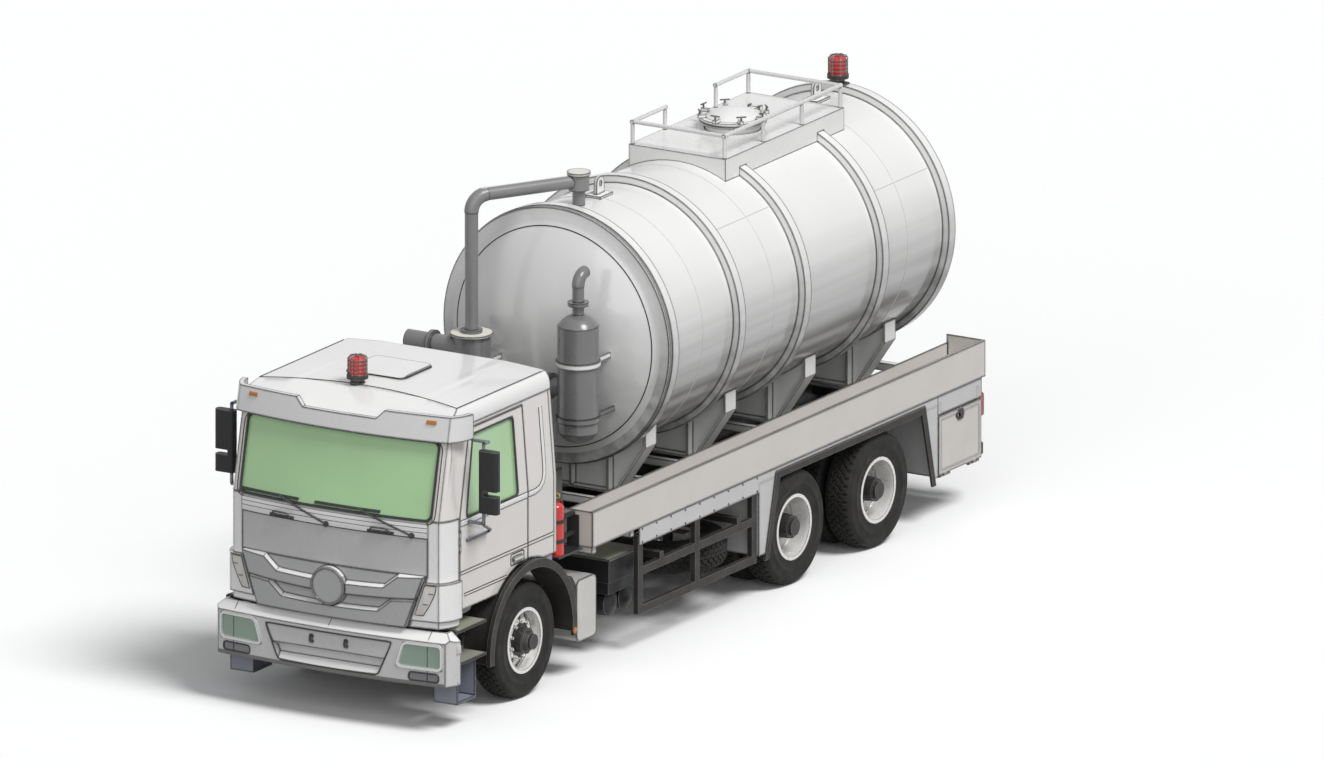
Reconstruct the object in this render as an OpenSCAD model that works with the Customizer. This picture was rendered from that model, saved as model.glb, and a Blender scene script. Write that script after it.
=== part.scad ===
// Three axle vacuum tanker truck with a forward control cab
// Millimetres. +X is the truck's left, +Y its rear, +Z up.
// Modules measure y from the front axle. place() then moves the origin to the middle of the length.

/* [Overall] */
// Bumper face to the front axle
front_overhang = 1560; // [1530:10:1600]
// Front axle to the first rear axle
wheelbase = 4500; // [4450:10:4560]
// First rear axle to the second
tandem = 1450; // [1400:10:1480]
// Second rear axle to the rear buffers
rear_overhang = 1930; // [1880:10:1980]
// Width over the hose trays and over the rear tyres
body_w = 2500; // [2480:5:2540]

/* [Wheels] */
// Tyre outside diameter
tyre_d = 1060; // [1030:5:1064]
// Tyre width
tyre_w = 290; // [280:2:294]
// Rim diameter at the bead seat
rim_d = 580; // [560:5:600]
// Distance between the centre planes of the front wheels
front_track = 1990; // [1970:5:2010]
// Distance between the centre planes of a twin pair
twin_pitch = 330; // [320:2:340]
// Front wheel centre plane to the kingpin
kingpin_in = 165; // [160:1:172]
// Kingpin radius
kingpin_r = 25; // [20:1:30]
// Front spindle and rear axle end radius
spindle_r = 46; // [40:1:52]
// Running clearance of pins and bearings
fit = 0.3; // [0.2:0.1:0.6]
// Hand holes in a front wheel disc
hand_holes = 10; // [8:1:12]
// Radius of a hand hole
hand_hole_r = 32; // [26:1:36]

/* [Chassis frame] */
// Frame width over the rails
frame_w = 860; // [840:5:880]
// Rail height
rail_h = 260; // [240:5:280]
// Rail flange width
rail_flange = 80; // [70:2:90]
// Rail plate thickness
rail_t = 9; // [7:0.5:12]
// Height of the rail tops above the ground
frame_top = 1000; // [980:5:1010]
// Height of the tank frame on top of the rails
tank_frame_h = 172; // [160:2:184]

/* [Cab] */
// Cab width below the windows
cab_w = 2300; // [2280:5:2320]
// Cab width at the roof seam
cab_roof_w = 2170; // [2150:5:2190]
// Cab front to the front axle
cab_front = 1500; // [1490:5:1505]
// Front axle to the back of the cab
cab_back = 495; // [480:5:520]
// Thickness of the cab walls and doors
wall = 45; // [40:1:50]
// Plan radius of the front corners
cab_corner_r = 300; // [270:5:330]
// Plan radius of the bowed front
cab_bow_r = 6000; // [5200:100:8000]
// Backward lean of the windscreen
screen_lean = 12.5; // [11:0.5:14]
// Underside of the cab floor
floor_z = 1240; // [1235:5:1255]
// Bottom edge of the doors
door_z = 1085; // [1075:5:1100]
// Bottom edge of the windscreen opening
screen_z = 1940; // [1920:5:1960]
// Top edge of the windscreen opening
screen_top_z = 2650; // [2630:5:2660]
// Height of the roof seam
roof_seam_z = 2740; // [2730:5:2750]
// Top of the roof
roof_z = 2950; // [2935:5:2960]
// Edge radius along the roof sides
roof_r = 170; // [140:5:180]
// Half width of the windscreen
screen_half = 1000; // [980:5:1010]
// Shut gap round the doors
door_gap = 8; // [7:0.5:10]
// Front axle to the front edge of the doors
door_front = 1165; // [1155:5:1170]
// Radius of the wheel arch cut in the doors
arch_r = 760; // [750:5:770]
// Radius of a door hinge pin
hinge_pin_r = 7; // [6:0.5:8]
// Thickness of the window glass
glass_t = 12; // [8:1:16]

/* [Front] */
// Underside of the bumper
bumper_z = 445; // [430:5:460]
// Top of the bumper
bumper_top_z = 930; // [915:5:940]
// Bumper width
bumper_w = 2490; // [2470:5:2498]
// Plan radius of the bumper corners
bumper_corner_r = 235; // [220:5:250]
// Bumper wall thickness
bumper_t = 60; // [50:2:70]
// Bottom edge of the grille
grille_z = 950; // [942:1:972]
// Top edge of the grille
grille_top_z = 1430; // [1415:5:1445]
// Radius of the plain disc on the grille
disc_r = 177; // [165:2:185]

/* [Tank] */
// Tank shell radius
tank_r = 1120; // [1105:5:1130]
// Height of the tank axis
tank_z = 2630; // [2620:5:2645]
// Front axle to the front end of the tank shell
tank_front = 2440; // [2420:5:2460]
// Length of the tank shell between its end rings
tank_len = 4870; // [4840:10:4890]
// Depth of the dished ends
dish = 250; // [220:5:270]
// Height of the stiffening rings above the shell
ring_h = 70; // [60:2:74]
// Width of the stiffening rings
ring_w = 110; // [100:2:120]
// Number of saddles
saddles = 4; // [3:1:5]
// Manhole neck radius
manhole_r = 250; // [230:5:265]
// Height of the platform deck above the tank
deck_h = 90; // [85:1:110]
// Platform half width
deck_half = 505; // [480:5:530]
// Radius of a lifting eye
eye_r = 22; // [18:1:26]
// Radius of the rear suction stub
stub_r = 75; // [65:1:80]

/* [Trays and boxes] */
// Front axle to the front end of the hose trays
tray_front = 957; // [940:5:970]
// Hose tray width
tray_w = 400; // [380:5:410]
// Height of the outer tray wall
tray_h = 337; // [320:2:350]
// Thickness of the tray sheet
tray_t = 10; // [8:0.5:12]
// Height of the bottom edge of the toolboxes
box_z = 408; // [395:2:420]
// Thickness of the toolbox sheet and door
box_t = 12; // [10:0.5:14]

/* [Hidden] */
$fn = 64;

// A length well beyond every part, for cuts that pass right through
far = 6000;
// Overlap that makes joined shapes one solid
lap = 1;
// Face to face clearance between curved pieces on one body
seat = 0.3;
// Rear tyres stand this far inside the body side
tyre_set = 25;
// Least clearance round moving pieces
free = 8;

// Axle positions and the two ends of the truck
axle2_y = wheelbase;
axle3_y = wheelbase + tandem;
rear_y = axle3_y + rear_overhang;
middle_y = (rear_y - front_overhang) / 2;
wheel_z = tyre_d / 2;
half_w = body_w / 2;

// Frame
rail_x = [frame_w / 2 - rail_flange, frame_w / 2];
frame_bottom = frame_top - rail_h;
frame_front_y = -1250;
frame_rear_y = rear_y - 240;
deck_top = frame_top + tank_frame_h;

// Wheels
front_x = front_track / 2;
kingpin_x = front_x - kingpin_in;
twin_x = half_w - tyre_set - tyre_w / 2 - twin_pitch / 2;
hub_r = 118;
rim_r = rim_d / 2;

// Trays, tank and boxes
tray_rear = rear_y - 156;
tray_x = [half_w - tray_w, half_w];
tank_rear = tank_front + tank_len;
deck_z = tank_z + tank_r + deck_h;
ring_ys = [tank_front + ring_w / 2, tank_front + 1205, tank_front + 2335, tank_front + 3675,
    tank_rear - ring_w / 2];
saddle_first_y = tank_front + 280;
saddle_pitch = (tank_len - 750) / (saddles - 1);
manhole_y = tank_rear - 1872;
deck_y = [tank_rear - 2835, tank_rear - 790];
trim_front_y = axle2_y - 575;
trim_rear_y = axle3_y + 920;
box_y = [trim_rear_y + 54, tray_rear - 69];
box_top_z = deck_top - 187;

// Limits of a width w about a middle
function mid(c, w) = [c - w / 2, c + w / 2];

module place() translate([0, -middle_y, 0]) children();
module pair() {
    children();
    mirror([1, 0, 0]) children();
}
// Box between pairs of limits
module span(x, y, z)
    translate([x[0], y[0], z[0]]) cube([x[1] - x[0], y[1] - y[0], z[1] - z[0]]);
// Side profile in y and z, drawn between two x limits
module side_cut(x)
    translate([x[0], 0, 0]) rotate([90, 0, 90]) linear_extrude(x[1] - x[0]) children();
// Front profile in x and z, drawn between two y limits
module front_cut(y)
    translate([0, y[1], 0]) rotate([90, 0, 0]) linear_extrude(y[1] - y[0]) children();
// Plan profile in x and y, drawn between two z limits
module plan_cut(z)
    translate([0, 0, z[0]]) linear_extrude(z[1] - z[0]) children();
module rod_x(x, y, z, r) translate([x[0], y, z]) rotate([0, 90, 0]) cylinder(r = r, h = x[1] - x[0]);
module rod_y(x, y, z, r) translate([x, y[0], z]) rotate([-90, 0, 0]) cylinder(r = r, h = y[1] - y[0]);
module rod_z(x, y, z, r) translate([x, y, z[0]]) cylinder(r = r, h = z[1] - z[0]);
// Round bar in the plane x = constant
module rod_yz(x, a, b, r)
    translate([x, a[0], a[1]])
        rotate([-90 + atan2(b[1] - a[1], b[0] - a[0]), 0, 0])
            cylinder(r = r, h = norm(b - a));
// Cylinder about the tank axis
module about_tank(y, r) rod_y(0, y, tank_z, r, $fn = 128);
// Shallow ball cap of base radius r and height h on the plane z = 0
module cap(r, h) intersection() {
    translate([0, 0, h - (r * r + h * h) / (2 * h)]) sphere(r = (r * r + h * h) / (2 * h), $fn = 96);
    translate([0, 0, -lap]) cylinder(r = r - 0.5, h = h + 2 * lap);
}
// Quarter bend of radius bend about the local z axis, from +x round to +y
module bend(bend, r) rotate_extrude(angle = 90) translate([bend, 0]) circle(r = r);
module round_rect(x, y, r) {
    translate([x[0] + r, y[0]]) square([x[1] - x[0] - 2 * r, y[1] - y[0]]);
    translate([x[0], y[0] + r]) square([x[1] - x[0], y[1] - y[0] - 2 * r]);
    for (cx = [x[0] + r, x[1] - r], cy = [y[0] + r, y[1] - r])
        translate([cx, cy]) circle(r = r);
}

// Chassis

module frame_rails() color("dimgray") place() pair()
    difference() {
        span(rail_x, [frame_front_y, frame_rear_y], [frame_bottom, frame_top]);
        span([rail_x[0] - lap, rail_x[1] - rail_t], [frame_front_y - lap, frame_rear_y + lap],
            [frame_bottom + rail_t, frame_top - rail_t]);
    }

cross_ys = [-1150, 1000, 2200, 3500, (axle2_y + axle3_y) / 2, axle3_y + 700, frame_rear_y - 80];
cross_w = 120;
cross_h = 130;
mount_ys = [-1060, 330];
beam_ys = [-front_overhang + bumper_t - 2 * lap, -front_overhang + 120];

module cross_members() color("dimgray") place() {
    for (y = cross_ys)
        span([-rail_x[1] + rail_t, rail_x[1] - rail_t], mid(y, cross_w),
            [frame_top - rail_t - 40 - cross_h, frame_top - rail_t - 40]);
    // Cab mounts on the rails, and the arms that carry the bumper
    pair() {
        for (y = mount_ys)
            span(rail_x, [y - 60, y + 60], [frame_top, floor_z]);
        span(rail_x, [beam_ys[1], frame_front_y], [frame_bottom - 160, frame_top - 60]);
    }
}

engine = [[-320, 320], [-950, 150], [620, floor_z - 40]];
engine_feet = [-650, -100];
radiator = [[-330, 330], [-1080, -949], [650, floor_z - 50]];
gearbox = [[-200, 200], [150, 850], [660, 1040]];
shaft_r = 55;
shaft_z = [750, wheel_z + 30];

module engine_gearbox() color("slategray") place() {
    side_cut(engine[0]) round_rect(engine[1], engine[2], 60);
    side_cut(gearbox[0]) round_rect([gearbox[1][0] - 60, gearbox[1][1]], gearbox[2], 55);
    // Radiator and fan shroud ahead of the block
    span(radiator[0], radiator[1], radiator[2]);
    // Feet against the lower flanges of the rails
    for (y = engine_feet)
        pair() span([engine[0][1] - lap, rail_x[0] - seat], [y - 50, y + 50],
            [frame_bottom - 15, frame_bottom + 35]);
}

beam_z = [wheel_z - 130, wheel_z - 30];
beam_y = 45;
eye_h = 120;
eye_boss_r = 52;
spring_x = [rail_x[0], rail_x[1]];
spring_t = 50;
front_spring = 800;
front_sag = 120;
rear_sag = 50;
knuckle_gap = 6;

// Leaf spring arc in the side view: half length, sag and height of its middle, thickness
module leaf(half, sag, z, t, up) {
    r = (half * half + sag * sag) / (2 * sag);
    intersection() {
        translate([0, z + up * r]) difference() {
            circle(r = r + t / 2, $fn = 200);
            circle(r = r - t / 2, $fn = 200);
        }
        translate([-half, z - 2 * sag]) square([2 * half, 4 * sag]);
    }
}

module front_axle() color("dimgray") place() {
    difference() {
        union() {
            front_cut([-beam_y, beam_y])
                polygon([[-kingpin_x, wheel_z - 40], [-kingpin_x + 130, wheel_z - 40], [-560, beam_z[0]],
                    [560, beam_z[0]], [kingpin_x - 130, wheel_z - 40], [kingpin_x, wheel_z - 40],
                    [kingpin_x, wheel_z + 40], [kingpin_x - 150, wheel_z + 40], [520, beam_z[1]],
                    [-520, beam_z[1]], [-kingpin_x + 150, wheel_z + 40], [-kingpin_x, wheel_z + 40]]);
            pair() rod_z(kingpin_x, 0, [wheel_z - eye_h / 2, wheel_z + eye_h / 2], eye_boss_r);
            pair() span(spring_x, [-90, 90], [beam_z[1] - lap, beam_z[1] + 60]);
        }
        pair() rod_z(kingpin_x, 0, [0, tyre_d], kingpin_r + fit);
    }
    // Springs on the axle pads, and their hangers under the rails
    pair() {
        side_cut(spring_x)
            leaf(front_spring, front_sag, beam_z[1] + 60 + spring_t / 2, spring_t, 1);
        for (s = [-1, 1])
            span(spring_x, [s * (front_spring - 40) - 40, s * (front_spring - 40) + 40],
                [beam_z[1] + 60 + front_sag + 10, frame_bottom]);
    }
}

axle_r = 85;
diff_r = 225;
pad_z = wheel_z + axle_r + 8;

// Axle tube with the final drive drum and both wheel spindles, turned about the truck's width
module rear_axle(y) {
    tube = twin_x - 250;
    translate([0, y, wheel_z]) rotate([0, 90, 0]) rotate_extrude()
        polygon([[0, -half_w + 60], [spindle_r, -half_w + 60], [spindle_r, -tube], [axle_r, -tube],
            [axle_r, -210],
            [diff_r, -80], [diff_r, 80], [axle_r, 210], [axle_r, tube], [spindle_r, tube],
                [spindle_r, half_w - 60],
            [0, half_w - 60]]);
    rod_y(0, [y - 350, y], wheel_z + 30, 70);
    pair() span(spring_x, [y - 70, y + 70], [wheel_z + 40, pad_z + 20]);
}

bogie_y = (axle2_y + axle3_y) / 2;

module rear_axles() color("dimgray") place() {
    rear_axle(axle2_y);
    rear_axle(axle3_y);
    pair() {
        side_cut(spring_x) translate([bogie_y, 0])
            leaf(tandem / 2 + 60, rear_sag, pad_z + spring_t / 2 + rear_sag, spring_t, -1);
        span(spring_x, [bogie_y - 130, bogie_y + 130], [pad_z + rear_sag - 40, frame_bottom]);
    }
    // Propeller shafts
    rod_yz(0, [gearbox[1][1] + 8, shaft_z[0]], [axle2_y - 300, shaft_z[1]], shaft_r);
    rod_y(0, [axle2_y + 100, axle3_y - 300], shaft_z[1], shaft_r);
}

// Front end

// Bumper outline in plan, grown outwards by g
module bumper_plan(g) intersection() {
    round_rect([-bumper_w / 2 - g, bumper_w / 2 + g], [-front_overhang - g, 0], bumper_corner_r + g);
    translate([0, -front_overhang - g + bow_r]) circle(r = bow_r, $fn = 360);
}
bow_r = 9000;
wrap_y = -front_overhang + 250;
ledge_in = 90;
ledge_z = bumper_top_z - 80;

// Bumper wall between two offsets of its plan
module bumper_skin(a, b, z) difference() {
    plan_cut(z) bumper_plan(a);
    plan_cut([z[0] - lap, z[1] + lap]) bumper_plan(b);
    span([-far, far], [wrap_y, far], [z[0] - 2 * lap, z[1] + 2 * lap]);
}

bumper_half = bumper_w / 2;
fog_face = [[bumper_half - 415, bumper_half - 125], [485, 560]];
lamp_gap = 0.5;

// Headlamp face in the front view, grown by g
module lamp_outline(g) polygon([[bumper_half - 540 - g, 600 - g],
    [bumper_half - 470 - g, 825 + g], [bumper_half - 95 + g, 825 + g],
    [bumper_half - 95 + g, 600 - g]]);
recess_half = bumper_half - 585;
splay = [recess_half + 40, recess_half - 100];
recess_y = [-front_overhang + 30, -front_overhang + 90];
recess_z = [490, 545, 640, 810];
tow_z = 725;

module bumper() color("gainsboro") place() {
    difference() {
        union() {
            bumper_skin(0, -bumper_t, [bumper_z, ledge_z]);
            // Sloping top, bowed like the face and bevelled at both ends
            intersection() {
                bumper_skin(0, -ledge_in - 15, [ledge_z - lap, bumper_top_z]);
                translate([0, bow_r - front_overhang, ledge_z - lap])
                    cylinder(r1 = bow_r, r2 = bow_r - ledge_in,
                        h = bumper_top_z - ledge_z + lap, $fn = 360);
                front_cut([-far, 0]) polygon([[-bumper_w / 2, bumper_z], [bumper_w / 2, bumper_z],
                    [bumper_w / 2, ledge_z],
                    [bumper_w / 2 - ledge_in, bumper_top_z], [ledge_in - bumper_w / 2, bumper_top_z],
                    [-bumper_w / 2, ledge_z]]);
            }
            span([60 - recess_half, recess_half - 60], [beam_ys[0], recess_y[1] + 15], [bumper_z, recess_z[2] + 40]);
        }
        // Central recess: upper panel, deeper slot under it and a sloping sill
        intersection() {
            side_cut([-far, far]) polygon([[-far, recess_z[3]], [recess_y[0], recess_z[3]], [recess_y[0],
                recess_z[2]], [recess_y[1], recess_z[2]], [recess_y[1], recess_z[1]],
                    [-front_overhang - 8, recess_z[0] - 5], [-far, recess_z[0] - 5]]);
            front_cut([-far, 0]) polygon([[-recess_half, recess_z[3]], [recess_half, recess_z[3]],
                [recess_half - 145, recess_z[0] - 5], [145 - recess_half, recess_z[0] - 5]]);
            plan_cut([0, far]) polygon([[-splay[0], -far], [-splay[0], -front_overhang],
                [-splay[1], recess_y[1]], [splay[1], recess_y[1]], [splay[0], -front_overhang], [splay[0], -far]]);
        }
        // Pockets for the headlamps and fog lamps
        pair() front_cut([-far, wrap_y + lap]) lamp_outline(0);
        pair() front_cut([-far, 0]) round_rect(fog_face[0], fog_face[1], 30);
    }
    // Beam behind the skin that bolts to the frame arms
    span([60 - recess_half, recess_half - 60], beam_ys, [recess_z[2] + 30, recess_z[2] + 130]);
    // Tow eyes on the upper panel of the recess
    for (x = [-180, 180])
        difference() {
            rod_x([x - 15, x + 15], recess_y[0] + 12, tow_z, 40);
            rod_x([x - 20, x + 20], recess_y[0] - 8, tow_z, 14);
        }
}

tail_y = [tray_rear + 10, tray_rear + 70];

module lamps() color("honeydew") place() {
    pair() intersection() {
        bumper_skin(-4, -bumper_t + 5, [bumper_z, ledge_z]);
        front_cut([-far, wrap_y]) lamp_outline(-lamp_gap);
    }
    pair() intersection() {
        bumper_skin(-4, -bumper_t + 5, [bumper_z, ledge_z]);
        front_cut([-far, 0]) round_rect([fog_face[0][0] + lamp_gap, fog_face[0][1] - lamp_gap],
            [fog_face[1][0] + lamp_gap, fog_face[1][1] - lamp_gap], 29);
    }
    pair() front_cut(tail_y) round_rect([900, 1190], [780, 1000], 25);
}

step_x = [920, 1205];
step_y = [wrap_y + seat, -800];
step_zs = [600, 905];
hang_y = [step_y[0] + 40, step_y[1] - 170];
hang_z = 235;

module entry_steps() color("slategray") place() pair() {
    // Inner wall, front wall, treads and the bracket to the frame
    span([step_x[0], step_x[0] + 30], step_y, [bumper_z, door_z - free]);
    span([step_x[0], step_x[1] - 15], [step_y[0], step_y[0] + 25], [bumper_z, grille_z - free]);
    for (z = step_zs)
        span(step_x, step_y, [z, z + 25]);
    span([frame_w / 2, step_x[0] + lap], [step_y[0] + 40, step_y[0] + 120],
        [frame_bottom + 80, frame_bottom + 160]);
    // Hanging lower step between two straps
    for (y = hang_y)
        span([step_x[0] + 20, step_x[1] - 20], [y, y + 20], [hang_z, step_zs[0] + lap]);
    span([step_x[0] + 20, step_x[1] - 20], [hang_y[0], hang_y[1] + 20], [hang_z, hang_z + 25]);
}

arch_in = arch_r - free - 75;
arch_x = [900, 1215];
stay_z = 900;
flap_z = 420;
stay_y = sqrt(pow(arch_in + 12, 2) - pow(stay_z - wheel_z, 2));

// Part of a wheel arch between two radii, from the front foot to the rear foot
module arch_ring(r0, r1, foot) difference() {
    circle(r = r1, $fn = 128);
    circle(r = r0, $fn = 128);
    translate([-far, -far]) square([2 * far, far + foot]);
}
trim_top_z = deck_top - 37;
trim_w = 60;
trim_foot_z = 360;
skirt_x = [half_w - 16, half_w - 6];
skirt_foot_z = trim_foot_z + 60;
fender_top_z = deck_top - 77;

// Rear mudguard opening: trapezoid over both axles, shrunk inwards by g
module trim_outline(g)
    polygon([[trim_front_y + g, trim_foot_z], [trim_front_y + 195 + g, trim_top_z - g],
        [trim_rear_y - 180 - g, trim_top_z - g], [trim_rear_y - g, trim_foot_z]]);

module mudguard_trims() color("darkslategray") place() pair() {
    // Front arch: inner lining and outer band
    translate([0, 0, wheel_z]) {
        side_cut(arch_x) arch_ring(arch_in, arch_in + 25, -60);
        side_cut([arch_x[1] - 40, arch_x[1]]) arch_ring(arch_in, arch_r - free, -60);
    }
    // Flap behind the wheel
    side_cut([arch_x[1] - 38, arch_x[1] - 2]) difference() {
        polygon([[480, flap_z + 560], [660, flap_z + 560], [745, flap_z + 440], [745, flap_z],
            [480, flap_z]]);
        translate([0, wheel_z]) circle(r = arch_in + 32, $fn = 128);
    }
    // Bracket from the frame to the lining
    span([frame_w / 2, arch_x[0] + 60], [stay_y - 20, stay_y + 20], [stay_z - 20, stay_z + 20]);
    // Rear trim band
    side_cut([skirt_x[0], half_w + 6]) difference() {
        trim_outline(0);
        trim_outline(trim_w);
        translate([0, trim_foot_z - lap]) square([far, lap]);
        translate([trim_front_y + trim_w + 1, trim_foot_z - lap])
            square([trim_rear_y - trim_front_y - 2 * trim_w - 2, 2 * lap]);
    }
}

fender_x = twin_x - twin_pitch / 2 - tyre_w / 2 - 20;
fender_y = [trim_front_y - 95, trim_rear_y + 50];
fender_t = 10;

module fender_sheet() difference() {
    translate([fender_y[0], skirt_foot_z])
        square([fender_y[1] - fender_y[0], fender_top_z - skirt_foot_z]);
    translate([fender_y[0] + fender_t, 0])
        square([fender_y[1] - fender_y[0] - 2 * fender_t, fender_top_z - fender_t]);
}

module rear_mudguards() color("lightgray") place() pair() {
    // Side skirt around the trim
    side_cut(skirt_x) difference() {
        translate([fender_y[0], skirt_foot_z]) square([fender_y[1] - fender_y[0], deck_top - skirt_foot_z]);
        trim_outline(-seat);
    }
    // Strip under the tray ahead of the wheels
    span(skirt_x, [guard_y[0], fender_y[0] + lap], [deck_top - 165, deck_top]);
    // Sheet over the wheels and down at both ends
    side_cut([fender_x, skirt_x[0] - seat]) fender_sheet();
    side_cut([skirt_x[0] - lap, skirt_x[0] + lap]) difference() {
        fender_sheet();
        trim_outline(-seat);
    }
}

fuel_y = [765, 1100];
fuel_r_y = [765, 1740];
fuel_x = [480, 1200];
fuel_z = [335, 910];

module fuel_tanks() color("silver") place() {
    side_cut(fuel_x) round_rect(fuel_y, fuel_z, 60);
    side_cut([-fuel_x[1], -fuel_x[0]]) round_rect(fuel_r_y, fuel_z, 60);
    for (y = [fuel_y[0] + 60, fuel_y[1] - 100])
        span([frame_w / 2, fuel_x[0] + lap], [y, y + 40], [frame_bottom + 20, fuel_z[1] - 20]);
    for (y = [fuel_r_y[0] + 200, fuel_r_y[1] - 240])
        span([-fuel_x[0] - lap, -frame_w / 2], [y, y + 40], [frame_bottom + 20, fuel_z[1] - 20]);
    // Filler cap of the long tank
    rod_z(-fuel_x[1] + 160, fuel_r_y[0] + 180, [fuel_z[1] - lap, fuel_z[1] + 45], 50);
}

battery_y = [1480, 2000];
air_r = 118;
air_ys = [1620, 1880];
air_z = 480;

module battery_box() color("dimgray") place() {
    span([frame_w / 2, 1100], battery_y, [700, 905]);
    span([frame_w / 2, 1085], [battery_y[0] + 15, battery_y[1] - 15], [air_z + air_r - 8, 700 + lap]);
    span([frame_w / 2, 1112], [battery_y[0] - 12, battery_y[1] + 12], [905 - lap, 925]);
    for (y = air_ys) {
        rod_x([520, 1030], y, air_z, air_r);
        translate([1030, y, air_z]) rotate([0, 90, 0]) cap(air_r - 2, 36);
    }
}

guard_y = [1772, 3815];
guard_z = [365, 720];
guard_tube = 80;
guard_rail_h = 72;
guard_face_x = [half_w - 70, half_w - 20];

module side_guards() color("dimgray") place() pair() {
    for (z = guard_z)
        span(guard_face_x, guard_y, [z, z + guard_rail_h]);
    for (y = [guard_y[0], (guard_y[0] + guard_y[1] - guard_tube) / 2, guard_y[1] - guard_tube])
        span(guard_face_x, [y, y + guard_tube], [guard_z[0], deck_top - 72]);
    // Arms to the frame
    for (y = [guard_y[0] + 378, guard_y[1] - 335]) {
        span([frame_w / 2, guard_face_x[0] + lap], [y, y + 60], [guard_z[1] + 75, guard_z[1] + 135]);
        span(guard_face_x, [y, y + 60], [guard_z[1], guard_z[1] + 135]);
    }
}

spare_at = [670, 3210];
spare_top_z = frame_bottom - 8;

module spare_wheel() color("dimgray") place() translate([spare_at[0], spare_at[1], spare_top_z - tyre_w]) {
    translate([0, 0, tyre_w / 2]) tyre();
    translate([0, 0, tyre_w / 2]) rim_disc(0);
    // Carrier plate and hanger up to the frame
    rod_z(0, 0, [tyre_w / 2 - 30, tyre_w + 8], 45);
    rod_z(0, 0, [tyre_w / 2 - 20, tyre_w / 2 + lap], 100);
    span([-spare_at[0] + rail_x[0], 200], [-60, 60], [tyre_w - lap + 1, tyre_w + 8]);
}

// Wheels are drawn about the local z axis, with +z towards the outside

function tyre_profile() = [[rim_r, -0.38], [rim_r + 55, -0.455], [rim_r + 105, -0.495], [rim_r + 150, -0.5],
    [tyre_d / 2 - 60, -0.475], [tyre_d / 2 - 25, -0.445], [tyre_d / 2 - 8, -0.4], [tyre_d / 2, -0.34],
    [tyre_d / 2, 0.34], [tyre_d / 2 - 8, 0.4], [tyre_d / 2 - 25, 0.445], [tyre_d / 2 - 60, 0.475],
    [rim_r + 150, 0.5], [rim_r + 105, 0.495], [rim_r + 55, 0.455], [rim_r, 0.38]];

module tyre() rotate_extrude($fn = 96) polygon([for (p = tyre_profile()) [p[0], p[1] * tyre_w]]);

// Rim barrel with its two flanges, just inside the tyre
module rim_barrel() rotate_extrude($fn = 96)
    polygon([[rim_r - 22, -0.44 * tyre_w], [rim_r + 14, -0.44 * tyre_w], [rim_r + 14, -0.405 * tyre_w],
        [rim_r - seat, -0.385 * tyre_w], [rim_r - seat, 0.385 * tyre_w], [rim_r + 14, 0.405 * tyre_w],
        [rim_r + 14, 0.44 * tyre_w], [rim_r - 22, 0.44 * tyre_w], [rim_r - 30, 0.3 * tyre_w],
        [rim_r - 30, -0.3 * tyre_w]]);

disc_t = 14;
hand_pcd = 0.74;
nut_pcd = 168;

// Wheel disc at height z, dished into the barrel, with hand holes
module rim_disc(z) {
    rim_barrel();
    difference() {
        rotate_extrude($fn = 96)
            polygon([[70, z], [190, z], [rim_r - 31, z - 45], [rim_r - 20, z - 45],
                [rim_r - 20, z - 45 + disc_t],
                [rim_r - 35, z - 45 + disc_t], [194, z + disc_t], [70, z + disc_t]]);
        for (i = [0 : hand_holes - 1])
            rotate([0, 0, i * 360 / hand_holes])
                translate([hand_pcd * rim_r, 0, z - 60]) cylinder(r = hand_hole_r, h = 90, $fn = 32);
    }
}

// Ring of wheel nuts
module nuts(z, h) for (i = [0 : 9])
    rotate([0, 0, i * 36]) translate([nut_pcd, 0, z]) cylinder(r = 17, h = h, $fn = 6);

front_disc_z = 60;
front_hub_z = [-65, 150];

module front_rim() difference() {
    union() {
        rim_disc(front_disc_z);
        nuts(front_disc_z + disc_t - lap, 30);
        translate([0, 0, front_hub_z[0]]) cylinder(r = hub_r, h = front_hub_z[1] - front_hub_z[0]);
        translate([0, 0, front_hub_z[1] - lap]) cylinder(r1 = hub_r - 20, r2 = 78, h = 45);
        translate([0, 0, front_hub_z[1] + 40]) cylinder(r = 70, h = 33);
    }
    translate([0, 0, front_hub_z[0] - lap]) cylinder(r = spindle_r + fit, h = 180);
}

rear_cap_z = twin_pitch / 2 + tyre_w / 2 - 4;
rear_bore_z = half_w - 60 + 8 - twin_x;

// Twin rims about the middle of the pair, discs back to back in the middle
module twin_rims() difference() {
    union() {
        translate([0, 0, twin_pitch / 2]) rim_barrel();
        translate([0, 0, -twin_pitch / 2]) rim_barrel();
        difference() {
            for (s = [0, 1]) mirror([0, 0, s]) rotate_extrude($fn = 96)
                polygon([[70, -lap], [200, -lap], [rim_r - 31, 40], [rim_r - 29, twin_pitch / 2 - 50],
                    [rim_r - 40, twin_pitch / 2 - 50], [rim_r - 46, 48], [196, disc_t], [70, disc_t]]);
            for (i = [0 : hand_holes - 1])
                rotate([0, 0, i * 360 / hand_holes])
                    translate([hand_pcd * rim_r, 0, -90]) cylinder(r = hand_hole_r, h = 180, $fn = 32);
        }
        nuts(disc_t - lap, 30);
        translate([0, 0, -170]) cylinder(r = hub_r, h = 290);
        translate([0, 0, 120 - lap]) cylinder(r1 = hub_r, r2 = 105, h = rear_cap_z - 150);
        translate([0, 0, rear_cap_z - 32]) cylinder(r = 78, h = 32);
    }
    translate([0, 0, -170 - lap]) cylinder(r = spindle_r + fit, h = 170 + rear_bore_z);
}

// Puts a wheel drawn about z on the truck, outside to the left or to the right
module on_left(x, y) translate([x, y, wheel_z]) rotate([0, 90, 0]) children();
module on_right(x, y) mirror([1, 0, 0]) on_left(x, y) children();

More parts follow.
